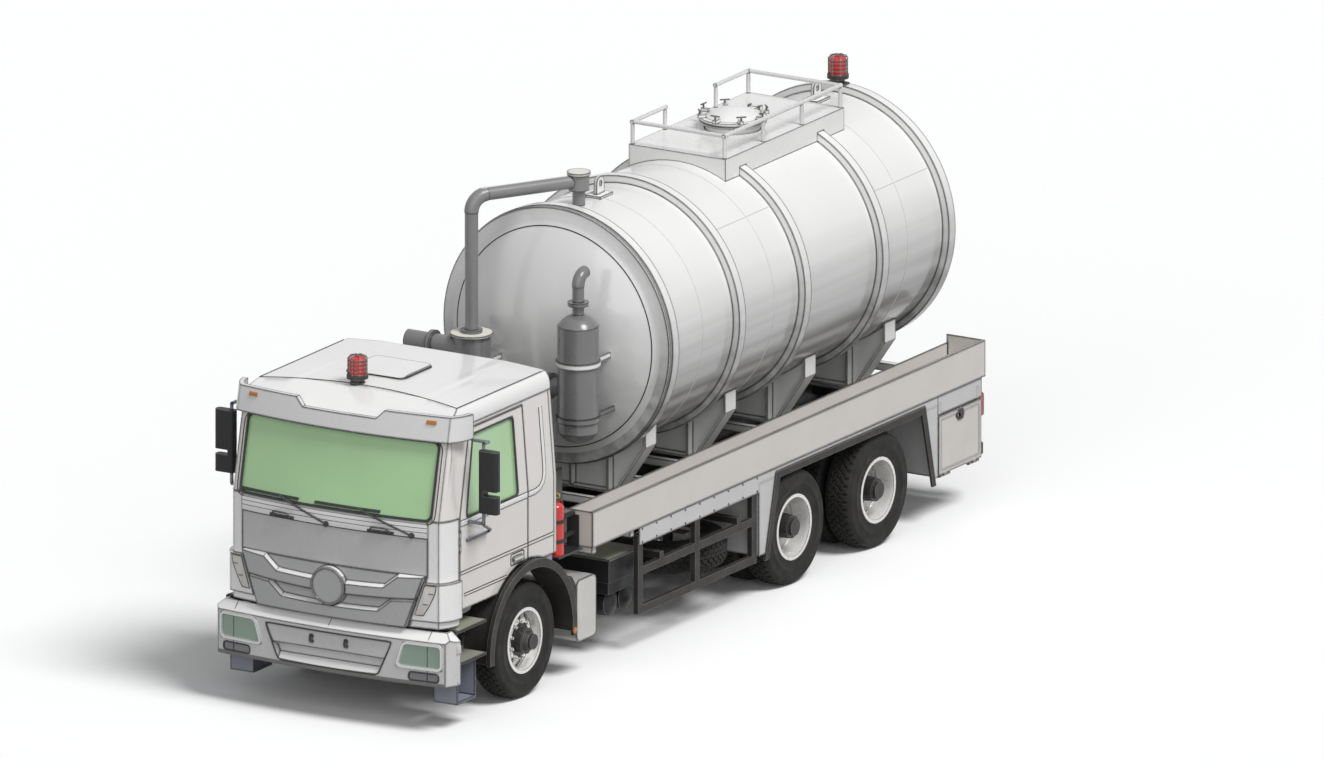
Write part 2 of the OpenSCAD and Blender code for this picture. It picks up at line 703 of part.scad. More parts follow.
module twin_tyres() {
    translate([0, 0, twin_pitch / 2]) tyre();
    translate([0, 0, -twin_pitch / 2]) tyre();
}

module tyre_front_left() color("black") place() on_left(front_x, 0) tyre();
module tyre_front_right() color("black") place() on_right(front_x, 0) tyre();
module rim_front_left() color("silver") place() on_left(front_x, 0) front_rim();
module rim_front_right() color("silver") place() on_right(front_x, 0) front_rim();
module tyres_mid_left() color("black") place() on_left(twin_x, axle2_y) twin_tyres();
module tyres_mid_right() color("black") place() on_right(twin_x, axle2_y) twin_tyres();
module rims_mid_left() color("silver") place() on_left(twin_x, axle2_y) twin_rims();
module rims_mid_right() color("silver") place() on_right(twin_x, axle2_y) twin_rims();
module tyres_rear_left() color("black") place() on_left(twin_x, axle3_y) twin_tyres();
module tyres_rear_right() color("black") place() on_right(twin_x, axle3_y) twin_tyres();
module rims_rear_left() color("silver") place() on_left(twin_x, axle3_y) twin_rims();
module rims_rear_right() color("silver") place() on_right(twin_x, axle3_y) twin_rims();

ear_t = 45;
spindle_x = [kingpin_x + 55, front_x + front_hub_z[0] + 165];

// Steering knuckle: two ears and a kingpin round the axle eye, and the wheel spindle
module knuckle() {
    for (z = [wheel_z + eye_h / 2 + knuckle_gap, wheel_z - eye_h / 2 - knuckle_gap - ear_t]) {
        rod_z(kingpin_x, 0, [z, z + ear_t], eye_boss_r);
        span([kingpin_x, spindle_x[0] + 28], [-48, 48], [z, z + ear_t]);
    }
    rod_z(kingpin_x, 0, [wheel_z - eye_h / 2 - knuckle_gap - lap, wheel_z + eye_h / 2 + knuckle_gap + lap],
        kingpin_r);
    span([spindle_x[0] + 2, spindle_x[0] + 28], [-48, 48],
        [wheel_z - eye_h / 2 - knuckle_gap - ear_t, wheel_z + eye_h / 2 + knuckle_gap + ear_t]);
    rod_x([spindle_x[0] + 10, spindle_x[1]], 0, wheel_z, spindle_r);
}
module knuckle_left() color("dimgray") place() knuckle();
module knuckle_right() color("dimgray") place() mirror([1, 0, 0]) knuckle();

// Tank and its frame

bearer_ys = [tray_front + 90, 1700, 2450, 3240, 3880, (axle2_y + axle3_y) / 2, axle3_y + 960, tray_rear - 60];
bearer_w = 70;
bearer_h = 72;
bearer_z = deck_top - bearer_h;
web_t = 20;
saddle_w = 190;
saddle_x = tank_r - 330;
saddle_foot = saddle_x - 320;
saddle_side_z = 1640;

module saddle_face() polygon([[-saddle_foot, deck_top + seat], [saddle_foot, deck_top + seat],
    [saddle_x, saddle_side_z], [saddle_x, tank_z], [-saddle_x, tank_z], [-saddle_x, saddle_side_z]]);

module saddle(y) difference() {
    union() {
        front_cut(mid(y, saddle_w)) difference() {
            saddle_face();
            polygon([[-saddle_foot + web_t, deck_top + web_t], [saddle_foot - web_t, deck_top + web_t],
                [saddle_x - web_t, saddle_side_z + web_t / 2], [saddle_x - web_t, tank_z + lap],
                [-saddle_x + web_t, tank_z + lap], [-saddle_x + web_t, saddle_side_z + web_t / 2]]);
        }
        front_cut(mid(y, web_t)) saddle_face();
        for (x = [-390, 0, 390])
            span(mid(x, web_t), mid(y, saddle_w), [deck_top + seat, tank_z]);
    }
    about_tank([y - saddle_w, y + saddle_w], tank_r + seat);
}

module tank_frame() color("gray") place() {
    // Two runners on the rails, the bearers across them and the saddles on top
    pair() side_cut(rail_x) polygon([[tray_front + 40, deck_top - bearer_h - 60],
        [tray_front + 40, bearer_z - seat],
        [frame_rear_y, bearer_z - seat], [frame_rear_y, frame_top], [tray_front + 340, frame_top]]);
    for (y = bearer_ys)
        span([-half_w + 40, half_w - 40], mid(y, bearer_w), [bearer_z, deck_top]);
    for (i = [0 : saddles - 1])
        saddle(saddle_first_y + i * saddle_pitch);
}

// Radius of the ball that gives the dished ends
dish_edge_r = tank_r - 40;
dish_ball = (dish_edge_r * dish_edge_r + dish * dish) / (2 * dish);
lip = 26;

// Dished end standing on the plane y = 0 and pointing along the local +z axis
module dished_end() intersection() {
    translate([0, 0, dish - dish_ball]) sphere(r = dish_ball, $fn = 160);
    cylinder(r = dish_edge_r + lap, h = dish + lap, $fn = 128);
}

module tank_shell() color("white") place() {
    about_tank([tank_front - 22 + seat, tank_rear], tank_r);
    // Stiffening rings round the shell
    for (y = ring_ys)
        difference() {
            about_tank(mid(y, ring_w), tank_r + ring_h);
            about_tank(mid(y, 2 * ring_w), tank_r + seat);
        }
    // Flange pair round the front end
    about_tank([tank_front - lip - 22, tank_front - 22], tank_r + ring_h - 12);
    about_tank([tank_front - 22 + seat, tank_front - seat], tank_r + 10);
    translate([0, tank_front - lip - 22, tank_z]) rotate([90, 0, 0]) translate([0, 0, -lap]) dished_end();
    translate([0, tank_rear, tank_z]) rotate([-90, 0, 0]) translate([0, 0, -lap]) dished_end();
    // Manhole neck, saddled on the shell
    difference() {
        union() {
            rod_z(0, manhole_y, [tank_z + tank_r - 60, deck_z + 75], manhole_r);
            rod_z(0, manhole_y, [deck_z + 55, deck_z + 75], manhole_r + 55);
        }
        rod_z(0, manhole_y, [deck_z - far, deck_z + 200], manhole_r - 25);
        about_tank([deck_y[0], deck_y[1]], tank_r + seat);
    }
}

skirt_t = 10;
rail_r = 19;
railing_h = 205;
post_inset = 25;
gap_len = 560;

module deck_posts(x, ys) for (y = ys) rod_z(x, y, [deck_z - lap, deck_z + railing_h], rail_r);

module platform() color("white") place() {
    difference() {
        union() {
            span([-deck_half, deck_half], deck_y, [deck_z - 12, deck_z]);
            for (y = [deck_y[0], deck_y[1] - skirt_t])
                span([-deck_half, deck_half], [y, y + skirt_t], [tank_z + tank_r * 0.8, deck_z]);
            pair() span([deck_half - skirt_t, deck_half], deck_y, [tank_z + tank_r * 0.8, deck_z]);
        }
        about_tank([deck_y[0] - lap, deck_y[1] + lap], tank_r + seat);
        for (y = ring_ys)
            about_tank([y - ring_w / 2 - 6, y + ring_w / 2 + 6], tank_r + ring_h + 4);
        rod_z(0, manhole_y, [deck_z - 100, deck_z + 100], manhole_r + 10);
    }
    // Railing, open in the middle of the right side
    x = deck_half - post_inset;
    y0 = deck_y[0] + post_inset;
    y1 = deck_y[1] - post_inset;
    z = deck_z + railing_h;
    deck_posts(x, [y0, y0 + (y1 - y0) / 3, y0 + 2 * (y1 - y0) / 3, y1]);
    deck_posts(-x, [y0, y0 + gap_len, y1 - gap_len, y1]);
    rod_y(x, [y0 - rail_r, y1 + rail_r], z, rail_r);
    rod_y(-x, [y0 - rail_r, y0 + gap_len + rail_r], z, rail_r);
    rod_y(-x, [y1 - gap_len - rail_r, y1 + rail_r], z, rail_r);
    rod_x([-x, x], y0, z, rail_r);
    rod_x([-x, x], y1, z, rail_r);
}

lid_z = deck_z + 75 + 6;
lid_r = manhole_r + 50;
lid_hinge = [0, manhole_y + manhole_r + 130, lid_z + 12];
lid_dome = 85;
lid_ball = (manhole_r * manhole_r + lid_dome * lid_dome) / (2 * lid_dome);

module manhole_lid() color("whitesmoke") place() {
    rod_z(0, manhole_y, [lid_z, lid_z + 26], lid_r);
    translate([0, manhole_y, lid_z + 25]) intersection() {
        translate([0, 0, lid_dome - lid_ball]) sphere(r = lid_ball, $fn = 96);
        cylinder(r = manhole_r + 5, h = lid_dome + 10);
    }
    // Arm and hinge barrel
    difference() {
        union() {
            span([-40, 40], [manhole_y + lid_r - 30, lid_hinge[1]], [lid_z, lid_z + 24]);
            rod_x([-40, 40], lid_hinge[1], lid_hinge[2], 24);
        }
        rod_x([-60, 60], lid_hinge[1], lid_hinge[2], 10 + fit);
    }
    // Clamps round the edge, apart from the hinge
    for (a = [135 : 45 : 405])
        translate([0, manhole_y, lid_z + 24]) rotate([0, 0, a])
            span([lid_r - 50, lid_r + 28], [-18, 18], [0, 34]);
}

valve_at = [0, tank_front + 340];
pipe_z = tank_z + tank_r + 220;
pipe_r = 61;
vessel_x = 557;
vessel_y = tank_front - 590;
vessel_r = 188;
filter_top_z = 2712;
filter_z = 1830;
silencer_z = [1950, 2930];
elbow_r = 150;
pipe_run = [-vessel_x - valve_at[0], vessel_y - valve_at[1]];
pipe_len = norm(pipe_run);
pipe_turn = atan2(pipe_run[1], pipe_run[0]);

module vacuum_pipes() color("gray") place() {
    // Valve on the tank top
    difference() {
        rod_z(valve_at[0], valve_at[1], [tank_z + tank_r - 20, pipe_z - 60], 58);
        about_tank([valve_at[1] - 200, valve_at[1] + 200], tank_r + seat);
    }
    rod_z(valve_at[0], valve_at[1], [pipe_z - 80, pipe_z + 70], 95);
    rod_z(valve_at[0], valve_at[1], [pipe_z + 60, pipe_z + 88], 107);
    // Line across to the filter, with its elbow and drop
    translate([valve_at[0], valve_at[1], pipe_z]) rotate([0, 0, pipe_turn]) {
        rod_x([60, pipe_len - elbow_r + 15], 0, 0, pipe_r);
        translate([pipe_len - elbow_r, 0, -elbow_r]) rotate([90, 0, 0]) bend(elbow_r, pipe_r + 5);
    }
    rod_z(-vessel_x, vessel_y, [filter_top_z + 24, pipe_z - elbow_r + 15], pipe_r);
    rod_z(-vessel_x, vessel_y, [filter_top_z + seat, filter_top_z + 26], 100);
}

pump = [[-330, 330], [1250, 1750], [deck_top, 1560]];

// Strap round a vessel, with plates back to the tank's dished end
module vessel_strap(x, z) difference() {
    union() {
        rod_z(x, vessel_y, [z, z + 50], vessel_r + 14);
        for (s = [-110, 90])
            span([x + s, x + s + 20], [vessel_y, tank_front + 40], [z, z + 50]);
    }
    translate([0, tank_front - lip - 22, tank_z]) rotate([90, 0, 0]) translate([0, 0, dish - dish_ball])
        sphere(r = dish_ball + seat, $fn = 160);
    about_tank([tank_front - lip - 24, tank_rear], tank_r + ring_h);
}

module vessels() color("dimgray") place() {
    // Filter on the right
    rod_z(-vessel_x, vessel_y, [filter_z + 60, filter_top_z - 20], vessel_r - 12);
    rod_z(-vessel_x, vessel_y, [filter_top_z - 24, filter_top_z], vessel_r + 10);
    rod_z(-vessel_x, vessel_y, [filter_z, filter_z + 62], 120);
    // Inlet along the filter's front, open to the right
    rod_x([-1170, -vessel_x], vessel_y - 80, filter_top_z - 135, 92);
    rod_x([-930, -890], vessel_y - 80, filter_top_z - 135, 122);
    vessel_strap(-vessel_x, 2400);
    vessel_strap(-vessel_x, 2050);
    // Silencer on the left
    rod_z(vessel_x, vessel_y, silencer_z, vessel_r);
    for (s = [0, 1])
        translate([vessel_x, vessel_y, silencer_z[s]]) mirror([0, 0, 1 - s]) cap(vessel_r - 3, 110);
    vessel_strap(vessel_x, 2560);
    vessel_strap(vessel_x, 2050);
    rod_z(vessel_x, vessel_y, [silencer_z[1] + 60, 3300], 54);
    rod_z(vessel_x, vessel_y, [3115, 3150], 96);
    translate([vessel_x, vessel_y + 110, 3290 - lap]) rotate([90, 0, -90]) bend(110, 58);
    // Vacuum pump and its two lines
    span(pump[0], pump[1], pump[2]);
    rod_x([100, vessel_x], vessel_y, 2330, 82);
    rod_x([250, 285], vessel_y, 2330, 120);
    rod_z(180, vessel_y, [pump[2][1] - 200, 2330], 82);
    rod_x([-vessel_x, -100], vessel_y, 1960, 70);
    rod_z(-180, vessel_y, [pump[2][1] - 200, 1960], 70);
    span([-330, 330], [pump[1][1] - lap, vessel_y + 100], [deck_top, pump[2][1]]);
}

// Flashing beacon with a wire guard, standing on z
module beacon(z) {
    rod_z(0, 0, [z, z + 45], 62);
    rod_z(0, 0, [z + 40, z + 75], 98);
    rod_z(0, 0, [z + 70, z + 215], 74);
    translate([0, 0, z + 215]) scale([1, 1, 0.4]) sphere(r = 74);
}

beacon_y = tank_rear - ring_w / 2 - 8;

module tank_beacon() color("firebrick") place() translate([0, beacon_y, 0]) {
    difference() {
        span([-95, 95], [-46, 46], [tank_z + tank_r + ring_h - 10, tank_z + tank_r + ring_h + 14]);
        about_tank([-60, 60], tank_r + ring_h + seat);
    }
    beacon(tank_z + tank_r + ring_h + 12);
}

ext_at = [1050, 640];
ext_z = deck_top - 6;
ext_r = 80;

module fire_extinguisher() color("crimson") place() {
    translate([ext_at[0], ext_at[1], 0]) {
        rod_z(0, 0, [ext_z, ext_z + 430], ext_r);
        translate([0, 0, ext_z + 430]) scale([1, 1, 0.7]) sphere(r = ext_r);
        rod_z(0, 0, [ext_z + 430, ext_z + 530], 24);
        span([-18, 18], [-60, 40], [ext_z + 515, ext_z + 545]);
        span([-18, 18], [-70, 30], [ext_z + 555, ext_z + 575]);
        span([-12, 12], [10, 30], [ext_z + 530, ext_z + 570]);
        // Moulded hose, clipped along the bottle
        rod_y(0, [20, 56], ext_z + 500, 17);
        translate([0, 55, ext_z + 450]) rotate([0, -90, 0]) bend(50, 18);
        rod_z(0, 105, [ext_z - 10, ext_z + 451], 17);
    }
    // Shelf and back plate on the front end of the tray
    span([ext_at[0] - 95, ext_at[0] + 95], [ext_at[1] - 90, tray_front], [ext_z - 14, ext_z + lap]);
    span([ext_at[0] - 60, ext_at[0] + 60], [tray_front - 16, tray_front], [ext_z, ext_z + 300]);
    for (z = [ext_z + 120, ext_z + 300])
        difference() {
            union() {
                rod_z(ext_at[0], ext_at[1], [z, z + 30], ext_r + 8);
                span([ext_at[0] - 20, ext_at[0] + 20], [ext_at[1], tray_front - 6], [z, z + 30]);
            }
            rod_z(ext_at[0], ext_at[1], [z - lap, z + 40], ext_r - 5);
        }
}

lip_w = 30;

module hose_trays() color("lightgray") place() pair() {
    y = [tray_front, tray_rear];
    z = [deck_top + tray_t + seat, deck_top + tray_h];
    span(tray_x, y, [deck_top, deck_top + tray_t]);
    span([tray_x[1] - tray_t, tray_x[1]], y, z);
    span([tray_x[0], tray_x[0] + tray_t], [y[0] + tray_t + seat, y[1] - tray_t - seat], [z[0], z[1] - 76]);
    for (e = [y[0], y[1] - tray_t])
        span([tray_x[0], tray_x[1] - tray_t - seat], [e, e + tray_t], z);
    // Lip along the outer wall
    span([tray_x[1] - lip_w, tray_x[1] - tray_t - seat], [y[0] + tray_t + seat, y[1] - tray_t - seat],
        [z[1] - tray_t, z[1]]);
}

latch_w = 60;
box_x = [half_w - 560, half_w - 12];
box_hinge = [half_w - 18, box_z + 14];
box_pin_r = 6;
box_barrel_r = 13;
box_barrels = [[0.12, 0.2], [0.8, 0.88]];
function box_at(t) = box_y[0] + t * (box_y[1] - box_y[0]);

module toolboxes() color("lightgray") place() pair() {
    difference() {
        union() {
            difference() {
                span(box_x, [box_y[0] + 6, box_y[1] - 6], [box_z + 30, box_top_z]);
                span([box_x[0] + box_t, box_x[1] + lap], [box_y[0] + 6 + box_t, box_y[1] - 6 - box_t],
                    [box_z + 30 + box_t, box_top_z - box_t]);
            }
            // Fixed hinge barrels beside those of the door
            for (b = box_barrels)
                difference() {
                    union() {
                        rod_y(box_hinge[0], [box_at(b[0]) - 60, box_at(b[1]) + 60], box_hinge[1],
                            box_barrel_r);
                        span([box_hinge[0] - 30, box_hinge[0]], [box_at(b[0]) - 60, box_at(b[1]) + 60],
                            [box_hinge[1] - 4, box_z + 31]);
                    }
                    span([box_hinge[0] - 40, box_hinge[0] + 40], [box_at(b[0]) - 3, box_at(b[1]) + 3],
                        [box_hinge[1] - 40, box_z + 60]);
                }
        }
        span([box_x[0] + box_t, half_w + 40], [box_y[0] + 6 + box_t, box_y[1] - 6 - box_t],
            [box_z + 30 + box_t, box_top_z - box_t]);
    }
    for (b = box_barrels)
        rod_y(box_hinge[0], [box_at(b[0]) - 10, box_at(b[1]) + 10], box_hinge[1], box_pin_r);
    // Hangers to the bearers and the closing strip above
    for (y = [box_y[0] + 20, box_y[1] - 60])
        span([box_x[0] + 40, box_x[1] - 40], [y, y + 40], [box_top_z - lap, deck_top - bearer_h]);
    span([half_w - 24, half_w - 14], [trim_rear_y + 54, tray_rear - 40], [box_top_z + 8, deck_top]);
    for (y = [box_y[0] + 20, box_y[1] - 60])
        span([half_w - 60, half_w - 20], [y, y + 40], [box_top_z - 10, deck_top - bearer_h]);
}

module toolbox_door() difference() {
    union() {
        difference() {
            span([half_w - 11 + 5, half_w], box_y, [box_z + 31, box_top_z - 2]);
            span([half_w - 2.5, half_w + lap], [box_y[0] + 40, box_y[1] - 40], [box_z + 70, box_top_z - 40]);
        }
        for (b = box_barrels) {
            rod_y(box_hinge[0], [box_at(b[0]), box_at(b[1])], box_hinge[1], box_barrel_r);
            span([box_hinge[0] + 11, half_w], [box_at(b[0]), box_at(b[1])], [box_hinge[1] - 4, box_z + 40]);
            span([box_hinge[0], half_w - 2], [box_at(b[0]), box_at(b[1])],
                [box_hinge[1] - 4, box_hinge[1] + 6]);
        }
        // Latch handle
        span([half_w - 4, half_w + 10], mid(box_at(0.5), 2 * latch_w),
            [box_top_z - 75, box_top_z - 45]);
    }
    for (b = box_barrels)
        rod_y(box_hinge[0], [box_at(b[0]) - 20, box_at(b[1]) + 20], box_hinge[1], box_pin_r + fit);
}
module toolbox_door_left() color("lightgray") place() toolbox_door();
module toolbox_door_right() color("lightgray") place() mirror([1, 0, 0]) toolbox_door();

module rear_bumper() color("dimgray") place() {
    front_cut([rear_y - 180, rear_y - 80]) round_rect([-1180, 1180], [420, 540], 20);
    pair() {
        span(rail_x, [frame_rear_y, rear_y - 170], [430, frame_top - 10]);
        rod_y(1080, [rear_y - 81, rear_y], 480, 48);
        span([rail_x[1] - lap, 1190], [tray_rear + 2, tray_rear + 10], [750, 1030]);
        span([rail_x[1] - lap, 520], [frame_rear_y + 10, tray_rear + 4], [850, 950]);
    }
}

eye_ys = [tank_front + 690, tank_rear - 440];
eye_z = tank_z + tank_r + 118;
stub_z = 1840;
stub_y = rear_y - 40;

module tank_fittings() color("gray") place() {
    for (y = eye_ys)
        difference() {
            union() {
                side_cut([-16, 16]) union() {
                    translate([y, eye_z]) circle(r = 66);
                    translate([y - 66, tank_z + tank_r - 30]) square([132, eye_z - tank_z - tank_r + 30]);
                }
                span([-80, 80], [y - 110, y + 110], [tank_z + tank_r - 20, tank_z + tank_r + 24]);
            }
            rod_x([-40, 40], y, eye_z, eye_r);
            about_tank([y - 200, y + 200], tank_r + seat);
        }
    // Suction and discharge stubs on the rear end
    for (x = [-420, 420])
        difference() {
            union() {
                rod_y(x, [tank_rear - 10, stub_y], stub_z + 60, stub_r + 10);
                rod_y(x, [stub_y - 26, stub_y], stub_z + 60, stub_r + 55);
                rod_z(x, stub_y - 160, [stub_z + 60, stub_z + 240], 38);
                rod_x([x - 120, x + 120], stub_y - 160, stub_z + 232, 16);
            }
            rod_y(x, [stub_y - 120, stub_y + lap], stub_z + 60, stub_r);
            translate([0, tank_rear, tank_z]) rotate([-90, 0, 0]) translate([0, 0, dish - dish_ball - lap])
                sphere(r = dish_ball + seat, $fn = 160);
            about_tank([tank_front, tank_rear + seat], tank_r + ring_h);
        }
    // Manhole lid hinge, on the platform deck
    for (x = [-64, 46])
        span([x, x + 18], [lid_hinge[1] - 26, lid_hinge[1] + 26], [deck_z, lid_hinge[2] + 26]);
    rod_x([-64, 64], lid_hinge[1], lid_hinge[2], 10);
    span([-64, 64], [lid_hinge[1] - 26, lid_hinge[1] + 26], [deck_z, deck_z + 14]);
}

// Cab

// Cab outline in plan, grown outwards by g
module cab_plan(g) intersection() {
    round_rect([-cab_w / 2 - g, cab_w / 2 + g], [-cab_front - g, far], cab_corner_r + g);
    translate([0, -cab_front - g + cab_bow_r]) circle(r = cab_bow_r, $fn = 360);
}

// Cab block grown by g: upright below the windscreen, leaning back above it
module cab_block(g, z) {
    if (z[0] < screen_z)
        intersection() {
            plan_cut([z[0], min(z[1], screen_z)]) cab_plan(g);
            span([-far, far], [-far, cab_back + g], [0, far]);
        }
    if (z[1] > screen_z)
        intersection() {
            translate([0, -cab_front, screen_z]) rotate([-screen_lean, 0, 0]) translate([0, cab_front, -500])
                linear_extrude(1900) cab_plan(g);
            span([-far, far], [-far, cab_back + g], [max(z[0], screen_z), z[1]]);
        }
}

// Side slope of the cab, inset by i
module cab_section(i) polygon([[-cab_w / 2 + i, 0], [cab_w / 2 - i, 0], [cab_w / 2 - i, screen_z],
    [cab_roof_w / 2 - i, roof_seam_z], [-cab_roof_w / 2 + i, roof_seam_z], [-cab_w / 2 + i, screen_z]]);

// Cab wall between two insets and two heights
module cab_skin(a, b, z) difference() {
    intersection() {
        cab_block(-a, z);
        front_cut([-far, far]) cab_section(a);
    }
    intersection() {
        cab_block(-b, [z[0] - lap, z[1] + lap]);
        front_cut([-far, far]) cab_section(b);
    }
}

module arch_cut(r) rod_x([-far, far], 0, wheel_z, r, $fn = 128);

door_lean = 260;
door_top_z = roof_seam_z - 40;
// Door outline in the side view, grown by g
module door_outline(g) polygon([[-door_front - g, door_z - g], [-door_front - g, screen_z],
    [-door_front - g + door_lean, door_top_z + g], [g, door_top_z + g], [g, door_z - g]]);
window_z = [1925, 2640];
// Window outline in the door, grown by g
module window_outline(g) polygon([[-1050 - g, window_z[0] - g], [-1050 - g, window_z[0] + 40],
    [-855 - g, window_z[1] + g], [-165 + g, window_z[1] + g], [-165 + g, window_z[0] - g]]);

hinge_at = [cab_w / 2, -door_front - door_gap / 2];
hinge_r = 13;
hinge_zs = [1260, 1720];
hinge_h = 60;

// Pin hinge seen from the fixed side: outer knuckles and the pin
module hinge_fixed() for (z = hinge_zs) {
    for (s = [-1, 1])
        translate([hinge_at[0], hinge_at[1], z + s * hinge_h - hinge_h / 2 + s * 2])
            cylinder(r = hinge_r, h = hinge_h);
    rod_z(hinge_at[0], hinge_at[1], [z - hinge_h, z + hinge_h], hinge_pin_r);
}
module hinge_moving() for (z = hinge_zs)
    rod_z(hinge_at[0], hinge_at[1], [z - hinge_h / 2, z + hinge_h / 2], hinge_r);

module cab_tub() color("gainsboro") place() {
    // Floor and rear wall
    intersection() {
        span([-far, far], [-far, cab_back - wall + lap], [floor_z, floor_z + wall]);
        cab_block(-wall - free, [floor_z - lap, floor_z + wall + lap]);
    }
    span([-cab_w / 2 + wall + free, cab_w / 2 - wall - free], [cab_back - wall - 2 * free,
        cab_back - wall + lap],
        [floor_z, floor_z + wall]);
    intersection() {
        front_cut([cab_back - wall, cab_back]) cab_section(0);
        span([-far, far], [-far, far], [floor_z, roof_seam_z]);
    }
}

module cab_frame() color("whitesmoke") place() {
    difference() {
        cab_skin(0, wall, [screen_z, roof_seam_z]);
        span([-screen_half, screen_half], [-far, -cab_front + 700], [0, screen_top_z]);
        pair() side_cut([screen_half - 300, far]) door_outline(door_gap);
        span([-far, far], [cab_back - wall, far], [0, far]);
    }
    // Side panels behind the doors
    pair() difference() {
        union() {
            span([cab_w / 2 - wall, cab_w / 2], [door_gap, cab_back - wall], [floor_z, screen_z + lap]);
            span([cab_w / 2 - wall, cab_w / 2 - 15], [door_gap, cab_back - wall],
                [door_z - 35, floor_z + lap]);
        }
        arch_cut(arch_r);
    }
}

roof_crease_y = -960;
hatch_x = [-400, 200];
hatch_y = [-590, -60];

// Roof block inset by i
module roof_block(i) intersection() {
    cab_block(-i, [roof_seam_z, roof_z + 50]);
    front_cut([-far, far]) intersection() {
        round_rect([-cab_roof_w / 2 + i, cab_roof_w / 2 - i], [roof_seam_z - 600, roof_z - i], roof_r);
        translate([0, roof_z - i - 12000]) circle(r = 12000, $fn = 360);
    }
    side_cut([-far, far]) polygon([[-cab_front - 100, roof_seam_z - lap],
        [-cab_front - 100, roof_seam_z + 10 - i],
        [-cab_front + 170, roof_seam_z + 40 - i], [roof_crease_y, roof_z - 18 - i],
            [roof_crease_y + 400, roof_z + 60],
        [cab_back - i, roof_z + 60], [cab_back - i, roof_seam_z - lap]]);
}

module cab_roof() color("white") place() {
    difference() {
        roof_block(0);
        translate([0, 0, -lap]) roof_block(wall);
    }
    // Hatch lid on the roof
    intersection() {
        plan_cut([roof_z - wall, roof_z + 24]) round_rect(hatch_x, hatch_y, 60);
        side_cut([-far, far]) polygon([[hatch_y[0], 0], [hatch_y[0], roof_z + 8],
            [hatch_y[0] + 120, roof_z + 24],
            [0, roof_z + 24], [0, 0]]);
    }
}

module windscreen() color("darkseagreen") place() intersection() {
    cab_skin(glass_in, glass_in + glass_t, [screen_z, roof_seam_z]);
    span([-screen_half + lamp_gap, screen_half - lamp_gap], [-far, -cab_front + 700],
        [0, screen_top_z - lamp_gap]);
}

// Boundary between the front panel or grille and the corner panels
panel_half = 965;
grille_half = 790;
module front_middle(g) polygon([[-grille_half - g, grille_z], [grille_half + g, grille_z],
    [panel_half + g, grille_top_z], [panel_half + g, screen_z], [-panel_half - g, screen_z],
    [-panel_half - g, grille_top_z]]);

module front_panel() color("gray") place() {
    intersection() {
        cab_skin(0, wall, [grille_top_z, screen_z]);
        front_cut([-far, -cab_front + 300]) front_middle(0);
    }
    // Inner brace to the floor
    span([-600, 600], [-cab_front + wall - lap + 30, -cab_front + 140], [grille_top_z, grille_top_z + 40]);
    span([-600, 600], [-cab_front + 101, -cab_front + 141], [floor_z + 45, grille_top_z + 40]);
}

slat_t = 45;
disc_z = grille_top_z - 190;
slat_lean = 30;
// Grille slats: height of the ledge, half length of its level part, depth of the face under it
slat_rows = [[1280, 555, 85], [1060, 500, 200]];

// One slat with a sloping ledge that sweeps up at both ends
module slat(z, half, face) intersection() {
    difference() {
        cab_block(slat_t, [grille_z, grille_top_z]);
        cab_block(-lap, [grille_z - lap, grille_top_z + lap]);
    }
    translate([0, -cab_front - slat_t, z]) rotate([slat_lean, 0, 0]) front_cut([-100, 400])
        polygon([[-far, 90], [-half - 140, 90], [-half, 0], [half, 0], [half + 140, 90], [far, 90],
            [far, -face], [-far, -face]]);
    front_cut([-far, -cab_front + 300]) front_middle(-20);
}

module grille() color("darkgray") place() {
    intersection() {
        cab_skin(0, wall, [grille_z, grille_top_z]);
        front_cut([-far, -cab_front + 300]) front_middle(0);
    }
    for (r = slat_rows)
        slat(r[0], r[1], r[2]);
    // Plain disc in the middle, with a raised rim
    rod_y(0, [-cab_front - 52, -cab_front + 10], disc_z, disc_r);
    translate([0, -cab_front - 50, disc_z]) rotate([90, 0, 0]) rotate_extrude($fn = 96)
        translate([disc_r - 12, 0]) circle(r = 9, $fn = 24);
}

corner_z = [1020, 1370];
corner_grow = 30;

module corner_panels() color("whitesmoke") place() {
    difference() {
        union() {
            cab_skin(0, wall, [grille_z, screen_z]);
            difference() {
                cab_block(corner_grow, corner_z);
                cab_block(-lap, [corner_z[0] - lap, corner_z[1] + lap]);
            }
        }
        front_cut([-far, far]) front_middle(seat);
        span([-far, far], [-door_front - door_gap, far], [0, far]);
        pair() rod_z(hinge_at[0], hinge_at[1], [door_z, screen_z - 2 * free], hinge_r + free);
    }
    pair() {
        hinge_fixed();
        // Hinge leaves back to the corner panel
        for (z = hinge_zs, s = [-1, 1])
            span([hinge_at[0] - wall, hinge_at[0] - 4], [hinge_at[1] - 40, hinge_at[1] - 2],
                [z + s * hinge_h + s * 2 - hinge_h / 2, z + s * hinge_h + s * 2 + hinge_h / 2]);
    }
}

visor_t = 55;
module sun_visor() color("gainsboro") place() intersection() {
    difference() {
        cab_block(visor_t, [screen_top_z - 5, roof_z - 60]);
        cab_block(seat, [screen_top_z - 10, roof_z]);
    }
    front_cut([-far, -cab_front + 480])
        polygon([[-cab_w, screen_top_z], [cab_w, screen_top_z], [cab_w, roof_z - 70], [460, roof_z - 70],
            [380, roof_z - 150],
            [-380, roof_z - 150], [-460, roof_z - 70], [-cab_w, roof_z - 70]]);
}

// Wipers: blade from and to, pivot, and where the arm meets the blade, all along x
wiper_rows = [[-985, -350, -40, -540], [-170, 495, 820, 290]];
blade_z = screen_z + 30;
pivot_z = screen_z - 140;
glass_in = 14;

